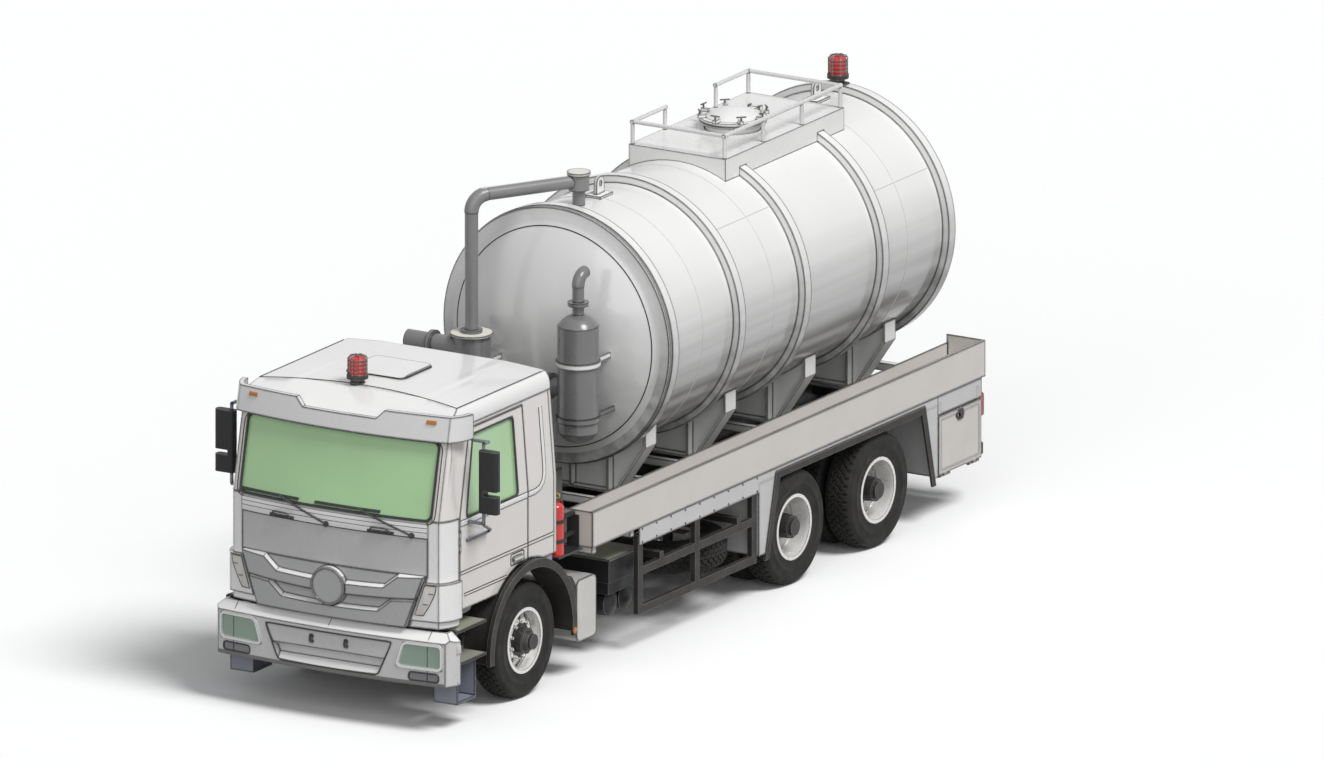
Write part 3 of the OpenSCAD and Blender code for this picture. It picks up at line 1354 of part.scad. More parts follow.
// Layer that follows the front of the cab between two offsets
module front_layer(a, b) difference() {
    cab_block(b, [pivot_z - 60, blade_z + 80]);
    cab_block(a, [pivot_z - 61, blade_z + 81]);
}

module wipers() color("darkslategray") place() for (w = wiper_rows) {
    intersection() {
        front_layer(seat - glass_in, 10);
        front_cut([-far, 0]) translate([w[0], blade_z]) square([w[1] - w[0], 20]);
    }
    intersection() {
        front_layer(seat, 14);
        front_cut([-far, 0]) polygon([[w[2] - 12, pivot_z], [w[2] + 12, pivot_z],
            [w[3] + 10, blade_z + 15], [w[3] - 10, blade_z + 15]]);
    }
    intersection() {
        front_layer(seat, 26);
        front_cut([-far, 0]) translate([w[2], pivot_z]) circle(r = 26);
    }
}

seat_xs = [-620, 0, 620];
seat_w = 480;
dash_y = [-cab_front + 150, -1010];

seat_top = floor_z + 470;
module cab_seats() color("dimgray") place() for (x = seat_xs) {
    span([x - 160, x + 160], [-230, 120], [floor_z + wall, seat_top - 140 - seat]);
    side_cut(mid(x, seat_w)) round_rect([-330, 140 - seat], [seat_top - 140, seat_top], 50);
    side_cut(mid(x, seat_w)) round_rect([140, 270], [seat_top - 130, seat_top + 610], 50);
    side_cut([x - 140, x + 140]) round_rect([150, 250], [seat_top + 610 + seat, seat_top + 770], 40);
}

module dash(g) side_cut([-far, far])
    round_rect([dash_y[0] - g, dash_y[1] + g], [floor_z + 420 - g, floor_z + 680 + g], 70 + g);

module cab_interior() color("dimgray") place() {
    // Dashboard on its pedestal
    intersection() {
        dash(0);
        cab_block(-wall - free, [floor_z, screen_z]);
    }
    span([-500, 500], [dash_y[0], dash_y[1] - 100], [floor_z + wall, floor_z + 420 - seat]);
    // Steering wheel and column
    difference() {
        translate([620, -830, floor_z + 720]) rotate([-35, 0, 0]) {
            rotate_extrude($fn = 64) translate([210, -12]) square([30, 24]);
            for (a = [0 : 120 : 240])
                rotate([0, 0, a]) span([0, 212], [-15, 15], [-7, 7]);
            translate([0, 0, -12]) cylinder(r = 55, h = 30);
            translate([0, 0, -330]) cylinder(r = 30, h = 330);
        }
        dash(seat);
    }
}

cab_beacon_at = [-100, -870];
module cab_beacon() color("firebrick") place() difference() {
    translate([cab_beacon_at[0], cab_beacon_at[1], 0]) {
        beacon(roof_z + 3);
        rod_z(0, 0, [roof_z - 40, roof_z + 4], 70);
    }
    roof_block(-seat);
}

module door_panel() difference() {
    union() {
        difference() {
            intersection() {
                cab_skin(0, wall, [door_z, roof_seam_z]);
                side_cut([screen_half - 300, far]) door_outline(0);
            }
            side_cut([0, far]) window_outline(0);
            arch_cut(arch_r);
            for (z = hinge_zs, s = [-1, 1])
                rod_z(hinge_at[0], hinge_at[1],
                    [z + s * (hinge_h + 2) - hinge_h / 2 - free,
                        z + s * (hinge_h + 2) + hinge_h / 2 + free], hinge_r + free);
        }
        hinge_moving();
        for (z = hinge_zs)
            span([hinge_at[0] - wall, hinge_at[0] - 4], [hinge_at[1] + 2, hinge_at[1] + 60],
                [z - hinge_h / 2, z + hinge_h / 2]);
        // Handle
        side_cut([cab_w / 2 - lap, cab_w / 2 + 22]) round_rect([-265, -95], [1322, 1364], 18);
    }
    for (z = hinge_zs)
        rod_z(hinge_at[0], hinge_at[1], [z - hinge_h, z + hinge_h], hinge_pin_r + fit);
}
module door_left() color("gainsboro") place() door_panel();
module door_right() color("gainsboro") place() mirror([1, 0, 0]) door_panel();

module door_pane() intersection() {
    cab_skin(16, 16 + glass_t, [door_z, roof_seam_z]);
    side_cut([screen_half - 300, far]) window_outline(-lamp_gap);
}
module door_glass_left() color("darkseagreen") place() door_pane();
module door_glass_right() color("darkseagreen") place() mirror([1, 0, 0]) door_pane();

mirror_x = [1275, 1475];
mirror_y = [-1075, -985];
stem_y = -1030;
mirror_z = [1985, 2560];
mirror_slot = [2145, 2195];

module door_mirror() {
    difference() {
        plan_cut(mirror_z) round_rect(mirror_x, mirror_y, 35);
        span([mirror_x[0] + 60, far], [-far, far], mirror_slot);
    }
    // Stem through the head and arms to the door
    rod_z(mirror_x[0] + 40, stem_y, [1880, 2620], 16);
    rod_x([cab_w / 2 - 30, mirror_x[0] + 45], stem_y, 1880, 16);
    rod_x([cab_roof_w / 2 - 30, mirror_x[0] + 45], stem_y + 70, 2620, 16);
    rod_y(mirror_x[0] + 40, [stem_y, stem_y + 80], 2620, 16);
}
module mirror_cut() difference() {
    door_mirror();
    cab_block(seat, [door_z, roof_seam_z]);
}
module mirror_left() color("darkslategray") place() mirror_cut();
module mirror_right() color("darkslategray") place() mirror([1, 0, 0]) mirror_cut();

frame_rails();
cross_members();
engine_gearbox();
front_axle();
rear_axles();
bumper();
lamps();
entry_steps();
mudguard_trims();
rear_mudguards();
fuel_tanks();
battery_box();
side_guards();
spare_wheel();
hose_trays();
tank_frame();
tank_shell();
platform();
vacuum_pipes();
vessels();
tank_beacon();
fire_extinguisher();
toolboxes();
rear_bumper();
tank_fittings();
cab_tub();
cab_frame();
cab_roof();
windscreen();
front_panel();
grille();
corner_panels();
sun_visor();
wipers();
cab_interior();
cab_seats();
cab_beacon();
door_left();
door_right();
door_glass_left();
door_glass_right();
mirror_left();
mirror_right();
manhole_lid();
toolbox_door_left();
toolbox_door_right();
knuckle_left();
knuckle_right();
tyre_front_left();
tyre_front_right();
rim_front_left();
rim_front_right();
tyres_mid_left();
tyres_mid_right();
rims_mid_left();
rims_mid_right();
tyres_rear_left();
tyres_rear_right();
rims_rear_left();
rims_rear_right();
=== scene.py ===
"""Looks of a three-axle vacuum tanker truck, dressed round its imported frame."""

import logging
import math
from dataclasses import dataclass, field, replace
from enum import Enum
from functools import cached_property
from typing import Any, Iterable, Protocol, Sequence

import bmesh
import bpy
from mathutils import Matrix, Vector


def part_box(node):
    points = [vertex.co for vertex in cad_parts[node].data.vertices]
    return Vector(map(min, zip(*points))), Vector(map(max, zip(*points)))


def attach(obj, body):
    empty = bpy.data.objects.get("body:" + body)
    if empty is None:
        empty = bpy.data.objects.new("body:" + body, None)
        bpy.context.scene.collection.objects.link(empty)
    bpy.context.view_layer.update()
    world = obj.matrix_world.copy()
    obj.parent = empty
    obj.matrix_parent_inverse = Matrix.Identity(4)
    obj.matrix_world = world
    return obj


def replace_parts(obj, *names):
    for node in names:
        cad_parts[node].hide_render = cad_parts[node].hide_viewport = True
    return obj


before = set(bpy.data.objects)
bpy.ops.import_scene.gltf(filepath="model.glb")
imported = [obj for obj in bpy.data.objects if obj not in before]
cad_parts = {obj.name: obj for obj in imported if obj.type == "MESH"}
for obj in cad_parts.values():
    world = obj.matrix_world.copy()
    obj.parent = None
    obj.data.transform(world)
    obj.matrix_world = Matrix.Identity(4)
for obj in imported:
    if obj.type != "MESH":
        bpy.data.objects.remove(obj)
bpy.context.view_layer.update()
LOG = logging.getLogger("tanker")

Colour = tuple[float, float, float]
Point = tuple[float, float, float]
Place = tuple[float, float]
Outline = tuple[Place, ...]
Socket = bpy.types.NodeSocket

# The front axle lies this far ahead of the middle of the truck
AXLE_Y = -3.160
SIDES = (1.0, -1.0)
SIDE_NAME = {1.0: "left", -1.0: "right"}
# Rear axles behind the front one, and the height of every axle
REAR_YS = {"mid": 4.5, "rear": 5.95}
AXLE_Z = 0.530
CHASSIS = "chassis"
SMOOTH_ANGLE = math.radians(32.0)
FAR = 20.0
ANYWHERE: Place = (-FAR, FAR)
EVEN: Point = (1.0, 1.0, 1.0)

# Colours that lie over a finish: dust, painted shade on the tank's lower part, dark seams and worn
# edges
DUST: Colour = (0.30, 0.27, 0.23)
LOW_SHADE: Colour = (0.30, 0.30, 0.295)
SEAM: Colour = (0.012, 0.012, 0.012)
BARE: Colour = (0.36, 0.35, 0.34)

# Detail of every noise, and the span that its values mostly fill
NOISE_DETAIL, NOISE_SPAN = 3.0, (0.3, 0.7)
# Dust is thick at the first height and thin at the second, in patches
DUST_HEIGHTS, DUST_SHARES = (0.1, 1.5), (1.0, 0.15)
DUST_SCALE, DUST_PATCHES = 7.0, (0.35, 0.75)
# Painted shade on the tank's lower part starts at the first height and is full at the second, in
# streaks along the tank
LOW_SHADE_HEIGHTS, LOW_SHADE_STRETCH = (3.08, 2.12), (8.0, 0.2, 8.0)
LOW_SHADE_STREAKS, LOW_SHADE_SHARES = (0.35, 0.65), (0.65, 1.15)
# An edge line starts and is full where the rounded normal has this cosine to the true one
EDGE_COSINES, EDGE_SAMPLES = (0.997, 0.965), 6
GLOSS_SCALE, GLOSS_SHARES = 9.0, (0.85, 1.2)
COAT_ROUGHNESS = 0.06
BUMP_STRENGTH = 0.35
# Colour sockets of the Mix node: two that go in and one that comes out
MIX_A, MIX_B, MIX_OUT = 6, 7, 2


def spot(x: float, y: float, z: float) -> Vector:
    """Point of the truck, with y counted back from the front axle."""
    return Vector((x, AXLE_Y + y, z))


def turns(count: int) -> list[float]:
    """Angles of even steps round a circle."""
    return [2 * math.pi * k / count for k in range(count)]


class Relief(Enum):
    """Fine relief: noise scale per metre, stretch along X, Y and Z, and depth in metres."""

    NONE = (1.0, EVEN, 0.0)
    PEEL = (55.0, EVEN, 0.0007)
    MOULDED = (420.0, EVEN, 0.0005)
    CAST = (120.0, EVEN, 0.0016)
    TURNED = (30.0, (14.0, 1.0, 1.0), 0.0006)
    BRUSHED = (24.0, (1.0, 1.0, 22.0), 0.0005)
    RUBBER = (260.0, EVEN, 0.0010)
    WEAVE = (520.0, EVEN, 0.0012)


class NodeKit:
    """Adds shader nodes to the tree of a material or a world."""

    def __init__(self, tree: bpy.types.NodeTree) -> None:
        """Takes the tree."""
        self.tree = tree

    def fill(self, node: bpy.types.Node, inputs: dict[str | int, Any]) -> None:
        """Links or sets sockets of a node.

        Args:
            node: Node to fill.
            inputs: A socket to link or a plain value for each input.
        """
        for name, value in inputs.items():
            if isinstance(value, Socket):
                self.tree.links.new(value, node.inputs[name])
            else:
                node.inputs[name].default_value = value

    def add(self, kind: str, inputs: dict[str | int, Any], **settings: Any) -> bpy.types.Node:
        """Adds a node.

        Args:
            kind: Its kind, without the ShaderNode at the front.
            inputs: A socket to link or a plain value for each input.
            settings: Its own properties.

        Returns:
            The new node.
        """
        node = self.tree.nodes.new(f"ShaderNode{kind}")
        for name, value in settings.items():
            setattr(node, name, value)
        self.fill(node, inputs)
        return node

    @cached_property
    def place(self) -> Socket:
        """Coordinates in the object's own frame."""
        return self.add("TexCoord", {}).outputs["Object"]

    @cached_property
    def height(self) -> Socket:
        """Height over the ground."""
        return self.add("SeparateXYZ", {"Vector": self.place}).outputs["Z"]

    def noise(self, scale: float, stretch: Point = EVEN) -> Socket:
        """Adds a noise over the surface.

        Args:
            scale: Noise scale per metre.
            stretch: Extra scale along each axis.

        Returns:
            The noise value.
        """
        mapping = self.add("Mapping", {"Vector": self.place, "Scale": stretch})
        noise = self.add("TexNoise", {"Vector": mapping.outputs["Vector"], "Scale": scale,
                                      "Detail": NOISE_DETAIL})
        return noise.outputs["Fac"]

    def spread(self, value: Socket, source: Place, target: Place) -> Socket:
        """Maps a value from one range to another, held at both ends.

        Args:
            value: Value to map.
            source: Range that comes in.
            target: Range that goes out.

        Returns:
            The mapped value.
        """
        return self.add("MapRange", {
            "Value": value, "From Min": source[0], "From Max": source[1],
            "To Min": target[0], "To Max": target[1]}).outputs["Result"]

    def mix(self, share: Socket, a: Socket | Colour, b: Colour) -> Socket:
        """Mixes two colours.

        Args:
            share: Share of the second colour.
            a: First colour, or the socket that gives it.
            b: Second colour.

        Returns:
            The mixed colour.
        """
        first = (*a, 1.0) if isinstance(a, tuple) else a
        inputs = {"Factor": share, MIX_A: first, MIX_B: (*b, 1.0)}
        return self.add("Mix", inputs, data_type="RGBA").outputs[MIX_OUT]

    def combine(self, operation: str, a: Socket, b: Socket) -> Socket:
        """Result of an operation on two values."""
        return self.add("Math", {0: a, 1: b}, operation=operation).outputs["Value"]

    def seen(self) -> Socket:
        """Finds what the camera sees, straight or in gloss and glass.

        Returns:
            A value that is 1 there and 0 elsewhere.
        """
        ray = self.add("LightPath", {})
        value = ray.outputs["Is Camera Ray"]
        for other in ("Is Glossy Ray", "Is Transmission Ray"):
            value = self.combine("MAXIMUM", value, ray.outputs[other])
        return value

    def show(self, output: str, unseen: Socket, seen: Socket) -> None:
        """Shows one shader where the camera looks and another elsewhere.

        Args:
            output: Name of the tree's output node.
            unseen: Shader for all other light.
            seen: Shader for what the camera sees.
        """
        mix = self.add("MixShader", {"Fac": self.seen(), 1: unseen, 2: seen})
        self.fill(self.tree.nodes[output], {"Surface": mix.outputs["Shader"]})


@dataclass(frozen=True)
class Finish:
    """One surface finish and the material that shows it."""

    name: str
    slot: str
    colour: Colour
    roughness: float
    metallic: float = 0.0
    coat: float = 0.0
    relief: Relief = Relief.PEEL
    drift: float = 0.05
    drift_scale: float = 1.6
    edge: Colour | None = None
    edge_width: float = 0.028
    dust: float = 0.0
    # Share of painted shade over the lower part of the surface, darker downwards in streaks
    film: float = 0.0
    transmission: float = 0.0
    glow: float = 0.0
    shine: float = 0.5

    def material(self) -> bpy.types.Material:
        """Makes the material the first time it is asked for.

        Returns:
            The material, which all pieces of this finish share.
        """
        found = bpy.data.materials.get(self.name)
        if found:
            return found
        made = bpy.data.materials.new(self.name)
        made.use_nodes = True
        made.diffuse_color = (*self.colour, 1.0)
        nodes = NodeKit(made.node_tree)
        inputs = {"Metallic": self.metallic, "Specular IOR Level": self.shine,
                  "Coat Weight": self.coat, "Coat Roughness": COAT_ROUGHNESS,
                  "Transmission Weight": self.transmission,
                  "Base Color": self._base(nodes), "Roughness": self._gloss(nodes)}
        if self.glow:
            inputs |= {"Emission Color": (*self.colour, 1.0), "Emission Strength": self.glow}
        if self.relief is not Relief.NONE:
            inputs["Normal"] = self._bump(nodes)
        nodes.fill(made.node_tree.nodes["Principled BSDF"], inputs)
        return made

    def _shade(self, factor: float) -> Colour:
        """The finish's colour made lighter or darker."""
        return tuple(min(1.0, c * factor) for c in self.colour)

    def _base(self, nodes: NodeKit) -> Socket:
        """Colours the surface, with a slow drift, dust, painted shade low down and lines along the
        edges.

        Args:
            nodes: Nodes of the material.

        Returns:
            The colour.
        """
        drift = nodes.spread(nodes.noise(self.drift_scale), NOISE_SPAN, (0.0, 1.0))
        colour = nodes.mix(drift, self._shade(1.0 - self.drift), self._shade(1.0 + self.drift))
        if self.dust:
            low = nodes.spread(nodes.height, DUST_HEIGHTS, DUST_SHARES)
            patch = nodes.spread(nodes.noise(DUST_SCALE), DUST_PATCHES, (0.0, self.dust))
            colour = nodes.mix(nodes.combine("MULTIPLY", low, patch), colour, DUST)
        # Painted shade: the colour darkens towards the bottom, in streaks
        if self.film:
            low = nodes.spread(nodes.height, LOW_SHADE_HEIGHTS, (0.0, self.film))
            streak = nodes.spread(nodes.noise(1.0, LOW_SHADE_STRETCH), LOW_SHADE_STREAKS, LOW_SHADE_SHARES)
            colour = nodes.mix(nodes.combine("MULTIPLY", low, streak), colour, LOW_SHADE)
        if self.edge:
            colour = nodes.mix(self._edge_share(nodes), colour, self.edge)
        return colour

    def _edge_share(self, nodes: NodeKit) -> Socket:
        """Finds the edges, from how far a rounded normal turns from the true one.

        Args:
            nodes: Nodes of the material.

        Returns:
            The share of the edge colour.
        """
        rounded = nodes.add("Bevel", {"Radius": self.edge_width}, samples=EDGE_SAMPLES)
        true = nodes.add("NewGeometry", {})
        cosine = nodes.add("VectorMath", {0: rounded.outputs["Normal"], 1: true.outputs["Normal"]},
                           operation="DOT_PRODUCT")
        return nodes.spread(cosine.outputs["Value"], EDGE_COSINES, (0.0, 1.0))

    def _gloss(self, nodes: NodeKit) -> Socket:
        """Roughness that varies a little over the surface."""
        low, high = (min(1.0, self.roughness * share) for share in GLOSS_SHARES)
        return nodes.spread(nodes.noise(GLOSS_SCALE), NOISE_SPAN, (low, high))

    def _bump(self, nodes: NodeKit) -> Socket:
        """Gives the surface its fine relief.

        Args:
            nodes: Nodes of the material.

        Returns:
            The normal.
        """
        scale, stretch, depth = self.relief.value
        bump = nodes.add("Bump", {"Strength": BUMP_STRENGTH, "Distance": depth,
                                  "Height": nodes.noise(scale, stretch)})
        return bump.outputs["Normal"]


def lined(name: str, slot: str, colour: Colour, roughness: float, **more: Any) -> Finish:
    """Finish with dark lines along its edges."""
    return Finish(name, slot, colour, roughness, **{"drift": 0.02, "edge": SEAM, **more})


def worn(name: str, slot: str, colour: Colour, roughness: float, **more: Any) -> Finish:
    """Dark finish with thin pale wear along its edges."""
    return Finish(name, slot, colour, roughness, edge=BARE, edge_width=0.003, **more)


def clear(name: str, slot: str, colour: Colour, roughness: float, **more: Any) -> Finish:
    """Smooth finish of a lens or a pane."""
    return Finish(name, slot, colour, roughness, relief=Relief.NONE, **more)


WHITE: Colour = (0.80, 0.80, 0.79)
TANK: Colour = (0.77, 0.77, 0.76)
BEIGE: Colour = (0.72, 0.69, 0.66)

# The tank and its dished ends carry painted shade over their lower part
TANK_WHITE = lined("tank_enamel", "tank_white", TANK, 0.20, coat=0.25, drift=0.015, film=0.85)
DISH_WHITE = lined("dish_enamel", "tank_white", (0.73, 0.73, 0.725), 0.16, coat=0.4, drift=0.015,
                   film=0.25)
RAIL_WHITE = lined("platform_enamel", "tank_white", TANK, 0.25, coat=0.3, drift=0.015,
                   edge_width=0.018)
# White paint on the upward faces of grey parts: painted light on their tops
LIT_TOP_WHITE = lined("lit_top_enamel", "cab_white", WHITE, 0.20, coat=0.5, drift=0.015,
                    edge_width=0.020)
CAB_WHITE = lined("cab_enamel", "cab_white", WHITE, 0.20, coat=0.5, drift=0.015)
CAB_SIDE = lined("cab_side_enamel", "cab_beige", BEIGE, 0.22, coat=0.5)
# Front panel: the cab's pale paint darkened to grey, as painted shade on a face turned from the
# light
FRONT_PAINTED_SHADE = lined("front_panel_shaded_enamel", "front_grey", (0.49, 0.49, 0.485), 0.25, coat=0.3)
GRILLE_GREY = lined("grille_enamel", "grille_grey", (0.40, 0.40, 0.40), 0.30, coat=0.2)
# Bumper: the cab's pale paint darkened, as painted shade on its front faces
BUMPER_PAINTED_SHADE = lined("bumper_shaded_enamel", "cab_white", (0.58, 0.58, 0.575), 0.28, coat=0.2)
VISOR_WHITE = lined("visor_enamel", "cab_white", (0.68, 0.68, 0.675), 0.25, coat=0.3)
TRIM_WHITE = lined("trim_white", "cab_white", WHITE, 0.25, coat=0.3, drift=0.015,
                   edge_width=0.006)
TRIM_SIDE = lined("trim_beige", "cab_beige", BEIGE, 0.25, coat=0.3, edge_width=0.005)
BODY_GREY = lined("tray_enamel", "body_grey", (0.66, 0.63, 0.60), 0.36, drift=0.03, dust=0.15)
SKIRT_GREY = lined("skirt_enamel", "body_grey", (0.60, 0.60, 0.60), 0.40, drift=0.03, dust=0.25)
SUBFRAME = lined("subframe_grey_paint", "subframe_grey", (0.80, 0.80, 0.78), 0.42, drift=0.04,
                 edge_width=0.024, dust=0.05)
STEP_BLUE = lined("step_blue_grey", "step_blue", (0.25, 0.27, 0.34), 0.42, drift=0.06, dust=0.3)
PLATE_LILAC = lined("step_plate_paint", "step_blue", (0.34, 0.35, 0.44), 0.42, drift=0.05,
                    dust=0.1)
PIPE_GREY = lined("pipe_paint", "pipe_grey", (0.20, 0.20, 0.20), 0.34, coat=0.2, drift=0.04,
                  edge_width=0.018)
PIPE_CAP = lined("flange_cream", "pipe_grey", (0.72, 0.71, 0.64), 0.36, drift=0.03)
VESSEL_GREY = lined("vessel_paint", "vessel_grey", (0.17, 0.17, 0.17), 0.30, coat=0.3, drift=0.05,
                    edge_width=0.020)
ALUMINIUM = lined("tank_box_aluminium", "tank_aluminium", (0.60, 0.59, 0.57), 0.38, metallic=0.35,
                  relief=Relief.BRUSHED, drift=0.04, dust=0.15)
RIM_METAL = lined("rim_bright", "rim_metal", (0.80, 0.79, 0.77), 0.26, metallic=0.3,
                  relief=Relief.TURNED, drift=0.04, edge_width=0.008)
BATTERY_LID = lined("battery_lid_olive", "plastic_dark", (0.33, 0.33, 0.27), 0.5,
                    relief=Relief.MOULDED, drift=0.05)

FRAME_DARK = worn("chassis_black", "frame_dark", (0.035, 0.035, 0.037), 0.45, drift=0.15, dust=0.3,
                  shine=0.25)
GUARD_DARK = worn("guard_brown_paint", "guard_dark", (0.026, 0.024, 0.022), 0.45, drift=0.10,
                  dust=0.1, shine=0.25)
PLASTIC_DARK = worn("mirror_shell_plastic", "plastic_dark", (0.022, 0.022, 0.024), 0.42,
                    relief=Relief.MOULDED, drift=0.08, shine=0.25)
CAST = worn("axle_casting", "cast_iron", (0.07, 0.07, 0.075), 0.55, metallic=0.2,
            relief=Relief.CAST, drift=0.18, dust=0.45)
HUB_DARK = worn("hub_casting", "cast_iron", (0.034, 0.031, 0.029), 0.45, metallic=0.3,
                relief=Relief.CAST, drift=0.15)

BEACON_RED = clear("beacon_lens", "beacon_red", (0.60, 0.010, 0.008), 0.12, coat=0.6, glow=0.15)
GLASS = clear("cab_glass_green", "glass_green", (0.45, 0.72, 0.38), 0.05, coat=0.5, drift=0.04,
              transmission=0.16)
LAMP_GLASS = clear("headlamp_glass", "lamp_glass", (0.28, 0.40, 0.31), 0.08, coat=0.6, drift=0.06,
                   transmission=0.2)
LAMP_AMBER = clear("marker_amber", "lamp_glass", (0.42, 0.15, 0.02), 0.2, coat=0.4)
LAMP_SMOKE = clear("signal_smoke", "lamp_glass", (0.16, 0.16, 0.17), 0.12, coat=0.6)
LAMP_PALE = clear("signal_lens_pale", "lamp_glass", (0.60, 0.57, 0.54), 0.14, coat=0.6)
LAMP_RED = clear("tail_red", "beacon_red", (0.40, 0.012, 0.012), 0.16, coat=0.5)
MIRROR_GLASS = clear("mirror_silver", "rim_metal", (0.85, 0.86, 0.87), 0.04, metallic=1.0,
                     drift=0.01)

RUBBER_SEAL = Finish("window_rubber", "plastic_dark", (0.02, 0.02, 0.02), 0.55,
                     relief=Relief.RUBBER, drift=0.1)
TYRE_RUBBER = Finish("tyre_rubber", "tyre_black", (0.020, 0.019, 0.018), 0.68,
                     relief=Relief.RUBBER, drift=0.2, drift_scale=6.0, edge=(0.06, 0.056, 0.052),
                     edge_width=0.003, shine=0.25)
SIGNAL_RED = Finish("extinguisher_red", "signal_red", (0.62, 0.012, 0.010), 0.22, coat=0.6,
                    drift=0.04)
PIN_YELLOW = Finish("safety_pin_yellow", "signal_red", (0.75, 0.55, 0.02), 0.35)
INTERIOR = Finish("cab_trim_grey", "interior_grey", (0.10, 0.10, 0.11), 0.6,
                  relief=Relief.MOULDED, drift=0.06)
SEAT_FABRIC = Finish("seat_cloth", "interior_grey", (0.13, 0.13, 0.14), 0.85, relief=Relief.WEAVE,
                     drift=0.22, drift_scale=180.0)
LIP_GREY = Finish("bumper_lip_plastic", "plastic_dark", (0.16, 0.155, 0.15), 0.5,
                  relief=Relief.MOULDED, drift=0.08)
WELD_WHITE = Finish("weld_enamel", "tank_white", (0.62, 0.62, 0.61), 0.3, drift=0.1,
                    drift_scale=60.0)
GRATE_GREY = Finish("grating_zinc", "subframe_grey", (0.58, 0.58, 0.57), 0.4, metallic=0.3,
                    drift=0.1)


@dataclass(frozen=True)
class Zone:
    """Faces of a node whose middle lies in three spans take another finish."""

    finish: Finish
    x: Place = ANYWHERE
    y: Place = ANYWHERE
    z: Place = ANYWHERE

    def holds(self, middle: Vector) -> bool:
        """Whether the zone holds a face with that middle."""
        return all(low <= m <= high for m, (low, high) in zip(middle, (self.x, self.y, self.z)))


@dataclass(frozen=True)
class Drum:
    """Faces of a node within a radius of an axle line take another finish."""

    finish: Finish
    y: float
    z: float
    radius: float

    def holds(self, middle: Vector) -> bool:
        """Whether the drum holds a face with that middle."""
        return math.hypot(middle.y - self.y, middle.z - self.z) <= self.radius


@dataclass(frozen=True)
class Collar:
    """Faces of a node well off an upright line, between two heights, take another finish."""

    finish: Finish
    middle: Place
    radius: float
    heights: Place
    reach: float = 0.8

    def holds(self, middle: Vector) -> bool:
        """Whether the collar holds a face with that middle."""
        away = math.hypot(middle.x - self.middle[0], middle.y - self.middle[1])
        return self.radius < away < self.reach and self.heights[0] < middle.z < self.heights[1]


Area = Zone | Drum | Collar


class Skin(Protocol):
    """A surface of the truck that trim lies on."""

    def at(self, u: float, v: float, lift: float = 0.0) -> Vector:
        """Point at two places along the surface, lifted off it."""


@dataclass(frozen=True)
class BowedFace:
    """Bowed face with round corners that leans back above a height; places run across and up."""

    face: float
    bow: float
    start: float
    corner: float
    reach: float
    lean_z: float
    lean: float
    proud: float = 0.0

    def at(self, u: float, v: float, lift: float = 0.0) -> Vector:
        """Finds a point of the face.

        Args:
            u: Place across.
            v: Place up.
            lift: How far the point lies in front of the face.

        Returns:
            The point.
        """
        x, radius = abs(u), self.corner + self.proud
        dip = self.bow - math.sqrt(self.bow ** 2 - x * x)
        if x > self.start:
            turn = min(x - self.start, self.reach * radius)
            dip = max(dip, radius - math.sqrt(radius ** 2 - turn ** 2))
        back = max(0.0, v - self.lean_z) * self.lean
        return Vector((u, self.face - self.proud + dip + back - lift, v))


@dataclass(frozen=True)
class CabSide:
    """One side of the cab, upright and then leaning in; places run back from the axle and up."""

    side: float
    half: float = 1.150
    lean_z: float = 1.94
    lean: float = 0.065 / 0.80

    def at(self, u: float, v: float, lift: float = 0.0) -> Vector:
        """Point of the side, lifted outwards."""
        x = self.half - max(0.0, v - self.lean_z) * self.lean
        return spot(self.side * (x + lift), u, v)


BUMPER_HALF, BUMPER_CORNER = 1.245, 0.235
CAB_FRONT = BowedFace(face=AXLE_Y - 1.5, bow=6.0, start=0.85, corner=0.30, reach=0.985,
                      lean_z=1.94, lean=math.tan(math.radians(12.5)))
BUMPER_FACE = BowedFace(face=AXLE_Y - 1.56, bow=9.0, start=BUMPER_HALF - BUMPER_CORNER,
                        corner=BUMPER_CORNER, reach=0.995, lean_z=0.85, lean=0.09 / 0.08)

# Lenses: inset of their ends, and width and largest share of their softened edges
LENS_INSET, LENS_SOFT, LENS_SHARE = 0.002, 0.006, 0.2
# Rounded corners and chamfers take at most this share of a side
ROUND_LIMIT = 0.45
# Points closer than this are one, and so are those with the same digits
WELD_DISTANCE, KEY_DIGITS = 1e-6, 5
BEAD_SIDES = 6
# Section of a trim strip: share of the half width, and share of how far it stands proud
STRIP_SECTION = ((-1.0, -0.5), (-1.0, 0.6), (-0.8, 1.0), (0.8, 1.0), (1.0, 0.6), (1.0, -0.5))


def headings(path: Sequence[Vector], closed: bool) -> list[Vector]:
    """Finds the direction of a path at each of its points.

    Args:
        path: Points in order.
        closed: Whether the path is a loop.

    Returns:
        A unit vector for each point.
    """
    count = len(path)
    found = []
    for i, here in enumerate(path):
        before = path[i - 1] if closed or i else here
        after = path[(i + 1) % count] if closed or i + 1 < count else here
        found.append((after - before).normalized())
    return found


